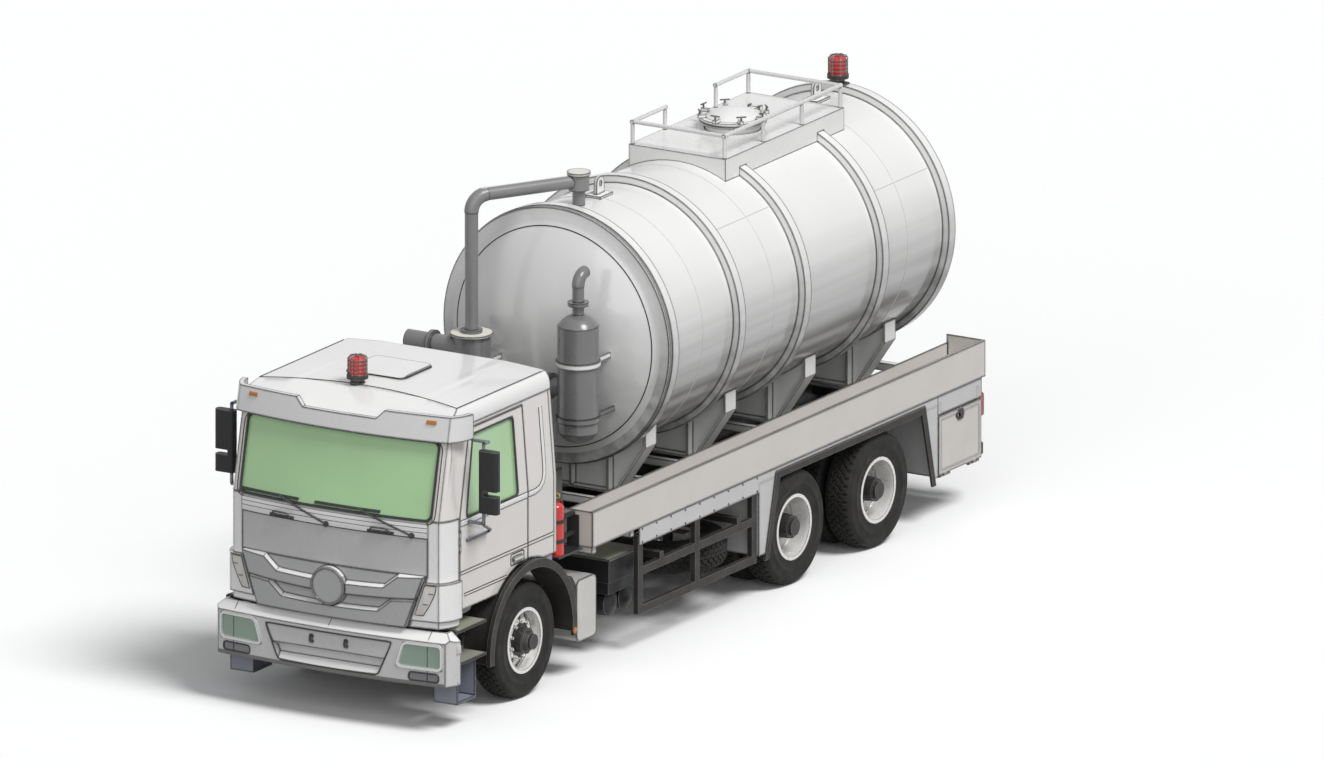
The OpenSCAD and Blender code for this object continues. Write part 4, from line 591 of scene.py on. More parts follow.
class MeshKit:
    """Collects points and faces of one piece and turns them into an object."""

    def __init__(self) -> None:
        """Starts with nothing in it."""
        self.points: list[Vector] = []
        self.faces: list[list[int]] = []

    def add(self, points: Iterable[Sequence[float]], faces: Iterable[Sequence[int]]) -> None:
        """Adds points and the faces between them.

        Args:
            points: New points.
            faces: Faces, counted from the first new point.
        """
        start = len(self.points)
        self.points += [Vector(p) for p in points]
        self.faces += [[start + i for i in f] for f in faces]

    def tube(self, path: Sequence[Vector], radius: float, sides: int = 8,
             closed: bool = False) -> None:
        """Adds a round bar along a path.

        Args:
            path: Points of its middle line.
            radius: Radius of the bar.
            sides: Faces round the bar.
            closed: Whether the path is a loop.
        """
        rings: list[list[Vector]] = []
        across: Vector | None = None
        for here, along in zip(path, headings(path, closed)):
            if across is None:
                across = along.orthogonal().normalized()
            across = (across - along * across.dot(along)).normalized()
            up = along.cross(across)
            rings.append([here + (across * math.cos(a) + up * math.sin(a)) * radius
                          for a in turns(sides)])
        self.loft(rings, closed)

    def loft(self, rings: Sequence[Sequence[Vector]], closed: bool = False) -> None:
        """Joins rings of points into a skin.

        Args:
            rings: Rows of points, as many in each.
            closed: Whether the last ring joins the first; otherwise both ends get a flat face.
        """
        count, sides = len(rings), len(rings[0])
        faces = []
        for i in range(count if closed else count - 1):
            here, there = i * sides, (i + 1) % count * sides
            for k in range(sides):
                n = (k + 1) % sides
                faces.append((here + k, here + n, there + n, there + k))
        if not closed:
            faces.append(tuple(reversed(range(sides))))
            faces.append(tuple((count - 1) * sides + k for k in range(sides)))
        self.add([p for ring in rings for p in ring], faces)

    def bead(self, skin: Skin, path: Sequence[Place], radius: float, closed: bool = False,
             lift: float = 0.0) -> None:
        """Adds a round bead along a path on a skin.

        Args:
            skin: Surface that carries it.
            path: Places along the surface.
            radius: Radius of the bead.
            closed: Whether the path is a loop.
            lift: How far its middle stands off the surface.
        """
        line = [skin.at(u, v, lift) for u, v in spaced(path, closed)]
        self.tube(line, radius, BEAD_SIDES, closed)

    def band(self, skin: Skin, path: Sequence[Place], width: float, lift: float,
             closed: bool = False) -> None:
        """Adds a flat strip with chamfered edges along a path on a skin.

        Args:
            skin: Surface that carries it.
            path: Places along the surface, in the middle of the strip.
            width: Width of the strip.
            lift: How far it stands proud.
            closed: Whether the path is a loop.
        """
        line = spaced(path, closed)
        rings = []
        for here, along in zip(line, headings(line, closed)):
            out = Vector((along.y, -along.x)) * (width / 2)
            rings.append([skin.at(*(here + out * share), lift * height)
                          for share, height in STRIP_SECTION])
        self.loft(rings, closed)

    def lens(self, skin: Skin, outline: Sequence[Place], lift: float, rows: int = 14) -> None:
        """Adds a lens with softened edges inside an outline on a skin.

        Args:
            skin: Surface that carries it.
            outline: Corner places in order.
            lift: How far it stands proud.
            rows: Strips across the lens.
        """
        us = [u for u, _ in outline]
        edges = list(zip(outline, [*outline[1:], outline[0]]))
        rings = []
        for k in range(rows + 1):
            u = min(us) + (max(us) - min(us)) * (LENS_INSET + (1.0 - 2 * LENS_INSET) * k / rows)
            cuts = [a[1] + (b[1] - a[1]) * (u - a[0]) / (b[0] - a[0])
                    for a, b in edges if (a[0] - u) * (b[0] - u) < 0]
            low, high = min(cuts), max(cuts)
            soft = min(LENS_SOFT, LENS_SHARE * (high - low))
            section = ((low, -lift), (low, lift / 2), (low + soft, lift),
                       (high - soft, lift), (high, lift / 2), (high, -lift))
            rings.append([skin.at(u, v, h) for v, h in section])
        self.loft(rings)

    def box(self, low: Sequence[float], high: Sequence[float], chamfer: float = 0.002) -> None:
        """Adds a box with chamfered edges.

        Args:
            low: Its lowest corner.
            high: Its highest corner.
            chamfer: Width of the chamfers.
        """
        low, high = Vector(low), Vector(high)
        middle, half = (low + high) / 2, (high - low) / 2
        chamfer = min(chamfer, min(half) * ROUND_LIMIT)
        work = bmesh.new()
        bmesh.ops.create_cube(work, size=2.0)
        for v in work.verts:
            v.co = Vector(c * h for c, h in zip(v.co, half)) + middle
        bmesh.ops.bevel(work, geom=work.edges[:], offset=chamfer, segments=2, profile=0.6,
                        affect="EDGES")
        work.verts.index_update()
        self.add([v.co.copy() for v in work.verts],
                 [[v.index for v in f.verts] for f in work.faces])
        work.free()

    def side_box(self, side: float, low: Point, high: Point, chamfer: float = 0.002) -> None:
        """Adds a box on one side of the truck.

        Args:
            side: Side of the truck, 1 for left.
            low: Corner on the left side, with y from the front axle.
            high: Opposite corner.
            chamfer: Width of the chamfers.
        """
        xs = sorted((side * low[0], side * high[0]))
        self.box(spot(xs[0], *low[1:]), spot(xs[1], *high[1:]), chamfer)

    def lathe(self, profile: Sequence[Place], place: Matrix, steps: int = 48,
              closed: bool = True) -> None:
        """Adds a turned shape.

        Args:
            profile: Radius and height along the local Z axis, in order.
            place: Where the local axis goes.
            steps: Faces round the axis.
            closed: Whether the profile is a loop.
        """
        size = len(profile)
        points = [place @ Vector((r * math.cos(a), r * math.sin(a), h))
                  for a in turns(steps) for r, h in profile]
        faces = []
        for k in range(steps):
            here, there = k * size, (k + 1) % steps * size
            for i in range(size if closed else size - 1):
                n = (i + 1) % size
                faces.append((here + i, there + i, there + n, here + n))
        self.add(points, faces)

    def make(self, name: str, body: str, finish: Finish) -> bpy.types.Object:
        """Makes the object, dresses it and lets it ride on a body.

        Args:
            name: Name of the piece.
            body: Body that carries it.
            finish: Finish of its surface.

        Returns:
            The new object.
        """
        mesh = bpy.data.meshes.new(name)
        mesh.from_pydata([tuple(p) for p in self.points], [], self.faces)
        work = bmesh.new()
        work.from_mesh(mesh)
        bmesh.ops.remove_doubles(work, verts=work.verts[:], dist=WELD_DISTANCE)
        bmesh.ops.recalc_face_normals(work, faces=work.faces[:])
        work.to_mesh(mesh)
        work.free()
        mesh.shade_smooth()
        mesh.set_sharp_from_angle(angle=SMOOTH_ANGLE)
        mesh.materials.append(finish.material())
        piece = bpy.data.objects.new(name, mesh)
        bpy.context.scene.collection.objects.link(piece)
        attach(piece, body)
        LOG.info("%s rides on %s, %d faces", name, body, len(mesh.polygons))
        return piece


def spaced(path: Sequence[Place], closed: bool = False, step: float = 0.06) -> list[Vector]:
    """Adds places to a path, so that it can follow a curved surface.

    Args:
        path: Places in order.
        closed: Whether the path is a loop.
        step: Longest run between two places.

    Returns:
        The path with the places between.
    """
    ends = [Vector(p) for p in path] + ([Vector(path[0])] if closed else [])
    out: list[Vector] = []
    for a, b in zip(ends, ends[1:]):
        count = max(1, math.ceil((b - a).length / step))
        out += [a.lerp(b, k / count) for k in range(count)]
    return out if closed else [*out, ends[-1]]


def beside(path: Sequence[Place], away: float) -> list[Place]:
    """Shifts a path sideways.

    Args:
        path: Places in order.
        away: How far, to the left of its run.

    Returns:
        The shifted path.
    """
    shifted = []
    for i, (u, v) in enumerate(path):
        before, after = path[max(i - 1, 0)], path[min(i + 1, len(path) - 1)]
        along = Vector((after[0] - before[0], after[1] - before[1])).normalized()
        shifted.append((u - away * along.y, v + away * along.x))
    return shifted


def mirrored(outline: Sequence[Place], side: float) -> list[Place]:
    """The outline on one side of the truck."""
    return [(side * u, v) for u, v in outline]


def outwards(side: float) -> Matrix:
    """Turn that points the local Z axis out of one side of the truck."""
    return Matrix.Rotation(side * math.pi / 2, 4, "Y")


def loop_points(corners: Sequence[Place], radius: float, steps: int = 6) -> list[Place]:
    """Rounds the corners of a closed outline.

    Args:
        corners: Corner points in order.
        radius: Radius of each rounded corner.
        steps: Points on each corner.

    Returns:
        Points of the rounded outline.
    """
    out = []
    count = len(corners)
    for i, corner in enumerate(corners):
        here = Vector(corner)
        a, b = Vector(corners[i - 1]) - here, Vector(corners[(i + 1) % count]) - here
        start = here + a.normalized() * min(radius, a.length * ROUND_LIMIT)
        end = here + b.normalized() * min(radius, b.length * ROUND_LIMIT)
        for k in range(steps + 1):
            t = k / steps
            point = start * (1 - t) ** 2 + here * (2 * t * (1 - t)) + end * t ** 2
            out.append((point.x, point.y))
    return out


@dataclass
class CadFinishes:
    """Gives each CAD node its finishes and its smooth shading."""

    plain: dict[str, Finish]
    zones: dict[str, list[Area]]
    # Finish that upward faces of a node take instead, lighter, as painted light on tops
    lit_tops: dict[str, Finish]
    lit_top_slope: float = 0.6

    def dress(self) -> None:
        """Dresses every node."""
        for name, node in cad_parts.items():
            finish = self.plain[name]
            zones = self.zones.get(name, [])
            top = self.lit_tops.get(name)
            mesh = node.data
            mesh.materials.clear()
            for used in [finish, *(z.finish for z in zones), *([top] if top else [])]:
                mesh.materials.append(used.material())
            for face in mesh.polygons:
                held = (i + 1 for i, z in enumerate(zones) if z.holds(face.center))
                # Faces that turn upwards take the lighter finish: painted light
                plain = len(zones) + 1 if top and face.normal.z > self.lit_top_slope else 0
                face.material_index = next(held, plain)
            self._smooth(mesh)
            LOG.info("%s wears %s", name, finish.name)

    @staticmethod
    def _smooth(mesh: bpy.types.Mesh) -> None:
        """Sets normals that run smoothly over gentle angles and break at sharp edges.

        Args:
            mesh: Mesh of a node.
        """
        around: dict[Point, list[int]] = {}
        keys = [tuple(round(c, KEY_DIGITS) for c in v.co) for v in mesh.vertices]
        for face in mesh.polygons:
            for v in face.vertices:
                around.setdefault(keys[v], []).append(face.index)
        normals = [face.normal.copy() for face in mesh.polygons]
        areas = [face.area for face in mesh.polygons]
        limit = math.cos(SMOOTH_ANGLE)
        split = []
        for face in mesh.polygons:
            own = normals[face.index]
            for v in face.vertices:
                total = Vector()
                for other in around[keys[v]]:
                    if normals[other].dot(own) > limit:
                        total += normals[other] * areas[other]
                split.append(total.normalized() if total.length > 1e-12 else own)
        mesh.shade_smooth()
        mesh.normals_split_custom_set(split)


@dataclass
class Tyre:
    """A road tyre with rows of offset tread blocks, drawn about its local Z axis."""

    radius: float = 0.530
    width: float = 0.290
    rim: float = 0.290
    groove: float = 0.016
    pitches: int = 46
    rows: int = 5
    steps: int = 92
    tread: float = 0.74
    row_shares: Place = (0.98, 0.80)
    arc_shares: Place = (0.62, 0.70)
    slant: float = 0.22
    chamfer: float = 0.003
    block_shares: Point = (1.06, 0.98, 0.86)
    # The shoulder falls by a drop, from a share of the half tread outwards
    shoulder_drop: float = 0.012
    shoulder: float = 0.72
    # Side wall: rise over the rim or drop under the tread, and share of the width
    rises: Outline = ((0.001, 0.375), (0.018, 0.420), (0.022, 0.446), (0.030, 0.440),
                      (0.060, 0.458), (0.100, 0.488), (0.104, 0.496), (0.112, 0.496),
                      (0.116, 0.490), (0.150, 0.486))
    tread_share: float = 0.385
    drops: Outline = ((0.062, 0.470), (0.052, 0.474), (0.046, 0.462), (0.030, 0.440))

    def carcass(self) -> list[Place]:
        """Draws the tyre body, from the inner bead over the tread to the outer bead.

        Returns:
            Its outline, as radius and place across.
        """
        half = [(self.rim + rise, share) for rise, share in self.rises]
        half += [(self.radius - drop, share) for drop, share in self.drops]
        half.append((self.radius - self.groove, self.tread_share))
        outline = [(r, -share * self.width) for r, share in half]
        return outline + [(r, share * self.width) for r, share in reversed(half)]

    def build(self, kit: MeshKit, place: Matrix) -> None:
        """Adds the tyre to a mesh.

        Args:
            kit: Mesh that takes it.
            place: Where its axis goes.
        """
        kit.lathe(self.carcass(), place, self.steps)
        tread = self.tread * self.width
        row_width = tread / self.rows
        for row in range(self.rows):
            middle = -tread / 2 + (row + 0.5) * row_width
            outer = row in (0, self.rows - 1)
            width = row_width * self.row_shares[0 if outer else 1]
            for k in range(self.pitches):
                turn = 2 * math.pi * (k + 0.5 * (row % 2)) / self.pitches
                self._block(kit, place, turn, middle, width, outer)

    def _block(self, kit: MeshKit, place: Matrix, turn: float, middle: float, width: float,
               outer: bool) -> None:
        """Adds one tread block with a chamfered top and slanted flanks.

        Args:
            kit: Mesh that takes it.
            place: Where the tyre's axis goes.
            turn: Angle of the block round the tyre.
            middle: Place of the block across the tread.
            width: Width of the block.
            outer: Whether it lies on a shoulder.
        """
        arc = 2 * math.pi / self.pitches * self.arc_shares[0 if outer else 1]
        slant = 0.0 if outer else arc * self.slant
        base = self.radius - self.groove - self.chamfer
        points = []
        levels = (base, self.radius - self.chamfer, self.radius)
        for radius, share in zip(levels, self.block_shares):
            for u, v in ((-0.5, -0.5), (0.5, -0.5), (0.5, 0.5), (-0.5, 0.5)):
                across = middle + v * width * share
                beyond = max(0.0, abs(across) / (self.tread / 2 * self.width) - self.shoulder)
                r = radius - self.shoulder_drop * beyond / (1.0 - self.shoulder)
                angle = turn + u * arc * share + slant * 2 * v * (1 if middle >= 0 else -1)
                points.append(place @ Vector((r * math.cos(angle), r * math.sin(angle), across)))
        faces = [(8, 9, 10, 11)]
        for low in (0, 4):
            faces += [(low + i, low + (i + 1) % 4, low + 4 + (i + 1) % 4, low + 4 + i)
                      for i in range(4)]
        kit.add(points, faces)


@dataclass
class Wheels:
    """Road wheels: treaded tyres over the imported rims."""

    tyre: Tyre = field(default_factory=Tyre)
    front_x: float = 0.995
    twin_x: float = 0.915
    twin_pitch: float = 0.330

    def build(self) -> None:
        """Builds the tyres of every axle."""
        twins = [self.twin_x - self.twin_pitch / 2, self.twin_x + self.twin_pitch / 2]
        for side in SIDES:
            name = SIDE_NAME[side]
            self._set(f"tyre_front_{name}", f"wheel_front_{name}", side, 0.0, [self.front_x])
            for axle, y in REAR_YS.items():
                self._set(f"tyres_{axle}_{name}", f"wheels_{axle}_{name}", side, y, twins)

    def _set(self, node: str, body: str, side: float, y: float, xs: Sequence[float]) -> None:
        """Builds the tyres of one wheel body and lets them stand for their node.

        Args:
            node: CAD node that they replace.
            body: Body that carries them.
            side: Side of the truck, 1 for left.
            y: Place of the axle behind the front axle.
            xs: Middle of each tyre from the truck's middle.
        """
        kit = MeshKit()
        for x in xs:
            middle = Matrix.Translation(spot(side * x, y, AXLE_Z))
            self.tyre.build(kit, middle @ outwards(side))
        piece = kit.make(f"{node}_treaded", body, TYRE_RUBBER)
        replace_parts(piece, node)


@dataclass(frozen=True)
class Strip:
    """A trim strip on the cab's side with a dark line along both edges, as painted shadow beside
    the raised strip.
    """

    path: Outline
    width: float
    lift: float
    away: float
    # Painted shadow lines beside the strip: their thickness and lift
    line: float = 0.004
    line_lift: float = 0.002

    def build(self, skin: Skin, strips: MeshKit, lines: MeshKit) -> None:
        """Adds the strip and its painted shadow lines.

        Args:
            skin: Side of the cab that carries them.
            strips: Mesh that takes the strip.
            lines: Mesh that takes the painted shadow lines.
        """
        strips.band(skin, self.path, self.width, self.lift)
        # Dark beads along both edges: painted shadow lines
        for away in (self.away, -self.away):
            lines.bead(skin, beside(self.path, away), self.line, lift=self.line_lift)


@dataclass
class FrontTrim:
    """Seals, seams, wiper arms, cowl, grab handles and lenses on the front of the cab."""

    skin: BowedFace = CAB_FRONT
    visor: BowedFace = replace(CAB_FRONT, proud=0.0565)
    bulge: BowedFace = replace(CAB_FRONT, proud=0.030)
    screen: Outline = ((-0.995, 1.945), (0.995, 1.945), (0.995, 2.640), (-0.995, 2.640))
    surround: Outline = ((-1.032, 1.908), (1.032, 1.908), (1.032, 2.648), (-1.032, 2.648))
    # Corner radius and thickness of the seals round the windscreen and its surround
    screen_seal: Place = (0.07, 0.012)
    surround_seal: Place = (0.10, 0.005)
    hatch: Outline = ((-0.400, -0.590), (0.200, -0.590), (0.200, -0.060), (-0.400, -0.060))
    hatch_z: float = 2.956
    hatch_r: float = 0.009
    hatch_corner: float = 0.06
    roof_z: float = 2.951
    roof_half: float = 1.030
    roof_run: float = 1.45
    roof_bow: float = 24.0
    crease: Place = (-0.916, 0.411)
    line_r: float = 0.0045
    wipers: Outline = ((-0.040, -0.540), (0.820, 0.290))
    wiper_z: Place = (1.800, 0.185)
    wiper_lift: float = 0.018
    wiper_r: float = 0.010
    # Cowl: height of its middle, width and lift; lines beside that height, and their lift
    cowl: Point = (1.848, 0.128, 0.008)
    cowl_lines: Point = (-0.067, -0.012, 0.030)
    cowl_line_lift: float = 0.005
    cowl_half: float = 0.965
    handle_x: float = 0.515
    handle_r: float = 0.009
    handle: tuple[Point, ...] = ((-0.085, -0.045, 0.010), (-0.085, -0.020, 0.040),
                                 (-0.070, 0.000, 0.056), (0.070, 0.000, 0.056),
                                 (0.085, -0.020, 0.040), (0.085, -0.045, 0.010))
    # Plate behind a handle: half length, drop, width and lift
    plate: tuple[float, ...] = (0.13, 0.048, 0.028, 0.022)
    marker: Outline = ((0.885, 2.806), (0.975, 2.806), (0.975, 2.842), (0.885, 2.842))
    signal: Outline = ((0.862, 1.075), (0.945, 1.078), (1.000, 1.170), (1.052, 1.280),
                       (1.066, 1.358), (0.958, 1.358))
    marker_lift: float = 0.012
    signal_lift: float = 0.005
    rim_lift: float = 0.004
    # Dark bars on the turn signals: their places, ends, thickness and lift
    signal_bars: Outline = ((1.030, 1.282), (0.975, 1.180))
    bar: Outline = ((-0.035, 0.004), (0.012, 0.0))
    bar_r: float = 0.004
    bar_lift: float = 0.006

    def build(self) -> None:
        """Builds the front trim."""
        seal = MeshKit()
        for outline, (corner, radius) in ((self.screen, self.screen_seal),
                                          (self.surround, self.surround_seal)):
            seal.bead(self.skin, loop_points(outline, corner), radius, closed=True)
        seal.make("windscreen_seal", CHASSIS, RUBBER_SEAL)
        self._cowl()
        self._hatch()
        self._roof_seams()
        self._wiper_arms()
        self._lenses()

    def _lenses(self) -> None:
        """Builds the marker lamps on the visor and the turn signals with their rims."""
        markers, lenses, rims = MeshKit(), MeshKit(), MeshKit()
        for side in SIDES:
            markers.lens(self.visor, mirrored(self.marker, side), self.marker_lift, 4)
            outline = mirrored(self.signal, side)
            lenses.lens(self.bulge, outline, self.signal_lift)
            rims.bead(self.bulge, outline, self.line_r, closed=True, lift=self.rim_lift)
            for u, v in self.signal_bars:
                bar = mirrored([(u + du, v + dv) for du, dv in self.bar], side)
                rims.bead(self.bulge, bar, self.bar_r, lift=self.bar_lift)
        markers.make("visor_markers", CHASSIS, LAMP_AMBER)
        lenses.make("turn_signal_lenses", CHASSIS, LAMP_PALE)
        rims.make("turn_signal_rims", CHASSIS, RUBBER_SEAL)

    def _hatch(self) -> None:
        """Builds the rubber line round the roof hatch."""
        kit = MeshKit()
        loop = [spot(x, y, self.hatch_z - x * x / self.roof_bow)
                for x, y in loop_points(self.hatch, self.hatch_corner)]
        kit.tube(loop, self.hatch_r, 6, closed=True)
        kit.make("roof_hatch_seal", CHASSIS, RUBBER_SEAL)

    def _roof_seams(self) -> None:
        """Builds the seams where the roof's top meets its front slope and its sides."""
        kit = MeshKit()
        start, slope = self.crease
        front = []
        for k in range(-12, 13):
            x = self.roof_half * k / 12
            drop = x * x / self.roof_bow
            front.append(spot(x, start - drop / slope, self.roof_z - drop))
        kit.tube(front, self.line_r, 6)
        for edge in (front[-1], front[0]):
            run = [edge + Vector((0.0, self.roof_run * k / 6, 0.0)) for k in range(7)]
            kit.tube(run, self.line_r, 6)
        kit.make("roof_seams", CHASSIS, RUBBER_SEAL)

    def _wiper_arms(self) -> None:
        """Builds the sprung arms that run from the wiper pivots to the blades."""
        kit = MeshKit()
        low, rise = self.wiper_z
        for pivot, blade in self.wipers:
            kit.tube([self.skin.at(pivot + (blade - pivot) * t / 6, low + rise * t / 6,
                                   self.wiper_lift) for t in range(7)], self.wiper_r, 6)
        kit.make("wiper_arms", CHASSIS, PLASTIC_DARK)

    def _cowl(self) -> None:
        """Builds the cowl strip under the windscreen with its lines and two grab handles."""
        level, width, lift = self.cowl
        half = self.cowl_half
        strip, lines, handles = MeshKit(), MeshKit(), MeshKit()
        strip.band(self.skin, ((-half, level), (half, level)), width, lift)
        strip.make("cowl_strip", CHASSIS, TRIM_WHITE)
        for v in (level + away for away in self.cowl_lines):
            lines.bead(self.skin, ((-half, v), (half, v)), self.line_r,
                       lift=self.cowl_line_lift)
        lines.make("cowl_lines", CHASSIS, RUBBER_SEAL)
        reach, drop, plate_width, plate_lift = self.plate
        for side in SIDES:
            x = side * self.handle_x
            handles.tube([self.skin.at(x + du, level + dv, lift) for du, dv, lift in self.handle],
                         self.handle_r)
            handles.band(self.skin, ((x - reach, level - drop), (x + reach, level - drop)),
                         plate_width, plate_lift)
        handles.make("cowl_handles", CHASSIS, PLASTIC_DARK)


@dataclass
class BumperTrim:
    """Lamp bezels, seams, lower lip and side markers of the bumper."""

    skin: BowedFace = BUMPER_FACE
    headlamp: Outline = ((0.705, 0.600), (0.775, 0.825), (1.150, 0.825), (1.150, 0.600))
    bezel: Place = (0.030, 0.010)
    corners: Point = (0.05, 0.03, 0.05)
    fog: Outline = ((0.830, 0.485), (0.830, 0.560), (1.120, 0.560), (1.120, 0.485))
    recess: Outline = ((-0.517, 0.485), (-0.662, 0.812), (0.662, 0.812), (0.517, 0.485))
    rim_r: float = 0.007
    seam_x: float = 1.010
    seam_r: float = 0.0035
    # Upright seams at the sides: lowest and highest point, thickness and lift
    side_seams: tuple[tuple[float, ...], ...] = (
        (0.447, 0.588, 0.0035, 0.0), (0.612, 0.813, 0.003, -0.003),
        (0.840, 0.928, 0.0035, 0.0))
    middle_seams: Outline = ((0.447, 0.480), (0.820, 0.928))
    # Lip: height, width and lift, and how far its ends stay inside the corners
    lip: Point = (0.462, 0.036, 0.004)
    lip_inset: float = 0.002
    marker_y: float = -1.346
    marker_z: float = 0.780
    marker_half: Point = (0.010, 0.030, 0.038)
    marker_chamfer: float = 0.005

    def build(self) -> None:
        """Builds the bumper's trim."""
        bezels, lines, lip, markers = (MeshKit() for _ in range(4))
        lamp_corner, fog_corner, recess_corner = self.corners
        for side in SIDES:
            lamp = mirrored(loop_points(self.headlamp, lamp_corner), side)
            bezels.band(self.skin, lamp, *self.bezel, closed=True)
            fog = mirrored(loop_points(self.fog, fog_corner), side)
            lines.bead(self.skin, fog, self.rim_r, closed=True)
            x = side * self.seam_x
            for low, high, radius, lift in self.side_seams:
                lines.bead(self.skin, ((x, low), (x, high)), radius, lift=lift)
            middle, half = spot(side * BUMPER_HALF, self.marker_y, self.marker_z), self.marker_half
            markers.box(middle - Vector(half), middle + Vector(half), self.marker_chamfer)
        recess = loop_points(self.recess, recess_corner)
        lines.bead(self.skin, recess, self.rim_r, closed=True)
        for low, high in self.middle_seams:
            lines.bead(self.skin, ((0.0, low), (0.0, high)), self.seam_r)
        end = BUMPER_HALF - self.lip_inset
        level, width, lift = self.lip
        lip.band(self.skin, ((-end, level), (end, level)), width, lift)
        bezels.make("headlamp_bezels", CHASSIS, TRIM_WHITE)
        lines.make("bumper_lines", CHASSIS, RUBBER_SEAL)
        lip.make("bumper_lip", CHASSIS, LIP_GREY)
        markers.make("bumper_side_markers", CHASSIS, LAMP_PALE)


@dataclass
class DoorTrim:
    """Seals, strips, handle frame, mirror glass and rail of one door."""

    side: float
    window: Outline = ((-1.050, 1.925), (-1.050, 1.965), (-0.855, 2.640), (-0.165, 2.640),
                       (-0.165, 1.925))
    # Corner radius and thickness of the seals round the window and the handle
    window_seal: Place = (0.045, 0.010)
    handle_seal: Place = (0.022, 0.006)
    handle: Outline = ((-0.292, 1.292), (-0.292, 1.394), (-0.068, 1.394), (-0.068, 1.292))
    belt: Strip = Strip(((-1.155, 1.885), (-0.012, 1.885)), 0.050, 0.006, 0.027)
    trim: Strip = Strip(((-1.155, 1.425), (-0.012, 1.425)), 0.024, 0.006, 0.014)
    lower: Strip = Strip(((-1.095, 1.215), (-0.370, 1.215)), 0.020, 0.005, 0.012)
    mirror_x: Place = (1.290, 1.460)
    mirror_y: Place = (-0.986, -0.981)
    mirror_zs: Outline = ((1.998, 2.132), (2.208, 2.547))
    rail: tuple[Point, ...] = ((1.150, -1.060, 1.712), (1.172, -1.045, 1.712),
                               (1.172, -0.760, 1.716), (1.180, -0.725, 1.722),
                               (1.205, -0.735, 1.745), (1.290, -0.985, 1.850),
                               (1.315, -1.030, 1.885))
    rail_r: float = 0.014

    def build(self) -> None:
        """Builds the trim of the door."""
        name = SIDE_NAME[self.side]
        body = f"door_{name}"
        skin = CabSide(self.side)
        seal, belt, trim, glass, rail = (MeshKit() for _ in range(5))
        for outline, (corner, radius) in ((self.window, self.window_seal),
                                          (self.handle, self.handle_seal)):
            seal.bead(skin, loop_points(outline, corner), radius, closed=True)
        # The seal mesh also takes the strips' painted shadow lines
        self.belt.build(skin, belt, seal)
        self.trim.build(skin, trim, seal)
        self.lower.build(skin, trim, seal)
        belt.make(f"belt_strip_{name}", body, TRIM_WHITE)
        seal.make(f"door_seals_{name}", body, RUBBER_SEAL)
        trim.make(f"door_trim_{name}", body, TRIM_SIDE)
        (inner, outer), (front, back) = self.mirror_x, self.mirror_y
        for low, high in self.mirror_zs:
            glass.side_box(self.side, (inner, front, low), (outer, back, high))
        glass.make(f"mirror_glass_{name}", body, MIRROR_GLASS)
        rail.tube([spot(self.side * x, y, z) for x, y, z in self.rail], self.rail_r, 10)
        rail.make(f"door_rail_{name}", body, PLATE_LILAC)


@dataclass
class SideTrim:
    """Strips on the cab's side behind the doors, and small fittings along the chassis."""

    belt: Strip = Strip(((0.014, 1.885), (0.130, 1.885), (0.205, 1.900), (0.262, 1.945),
                         (0.292, 2.010), (0.300, 2.080), (0.300, 2.620)), 0.046, 0.006, 0.025)
    trim: Strip = Strip(((0.014, 1.425), (0.440, 1.425)), 0.024, 0.006, 0.014)
    rivet_x: float = 1.244
    rivet_ys: Place = (1.82, 3.80)
    rivet_zs: Place = (1.030, 1.150)
    rivet_count: int = 9
    rivet: Outline = ((0.011, 0.0), (0.010, 0.004), (0.005, 0.007), (0.0005, 0.0075))
    flap: Point = (1.2155, 0.705, 0.470)
    reflector: Outline = ((0.030, -0.004), (0.030, 0.004), (0.024, 0.008), (0.0005, 0.009))
    pin: Point = (1.050, 0.630, 1.714)
    pin_run: Place = (-0.030, 0.012)
    pin_ring: Place = (0.030, 0.022)
    pin_r: float = 0.005

    def build(self) -> None:
        """Builds the strips, rivets, reflectors and the safety pin."""
        belt, trim, lines, rivets, reflectors = (MeshKit() for _ in range(5))
        first, last = self.rivet_ys
        for side in SIDES:
            skin = CabSide(side)
            # The lines mesh takes the strips' painted shadow lines
            self.belt.build(skin, belt, lines)
            self.trim.build(skin, trim, lines)
            for k in range(self.rivet_count):
                y = first + (last - first) * k / (self.rivet_count - 1)
                for z in self.rivet_zs:
                    place = Matrix.Translation(spot(side * self.rivet_x, y, z)) @ outwards(side)
                    rivets.lathe(self.rivet, place, 10, closed=False)
            x, y, z = self.flap
            place = Matrix.Translation(spot(side * x, y, z)) @ outwards(side)
            reflectors.lathe(self.reflector, place, 20, closed=False)
        belt.make("side_panel_belt", CHASSIS, TRIM_WHITE)
        trim.make("side_panel_trim", CHASSIS, TRIM_SIDE)
        lines.make("side_panel_shadow_lines", CHASSIS, RUBBER_SEAL)
        rivets.make("skirt_rivets", CHASSIS, HUB_DARK)
        reflectors.make("flap_reflectors", CHASSIS, LAMP_AMBER)
        self._pin()

    def _pin(self) -> None:
        """Builds the safety pin of the fire extinguisher with its pull ring."""
        kit = MeshKit()
        x, y, z = self.pin
        away, radius = self.pin_ring
        kit.tube([spot(x + away + radius * math.cos(a), y, z + radius * math.sin(a))
                  for a in turns(16)], self.pin_r, 8, closed=True)
        kit.tube([spot(x + run, y, z) for run in self.pin_run], self.pin_r)
        kit.make("extinguisher_pin", CHASSIS, PIN_YELLOW)


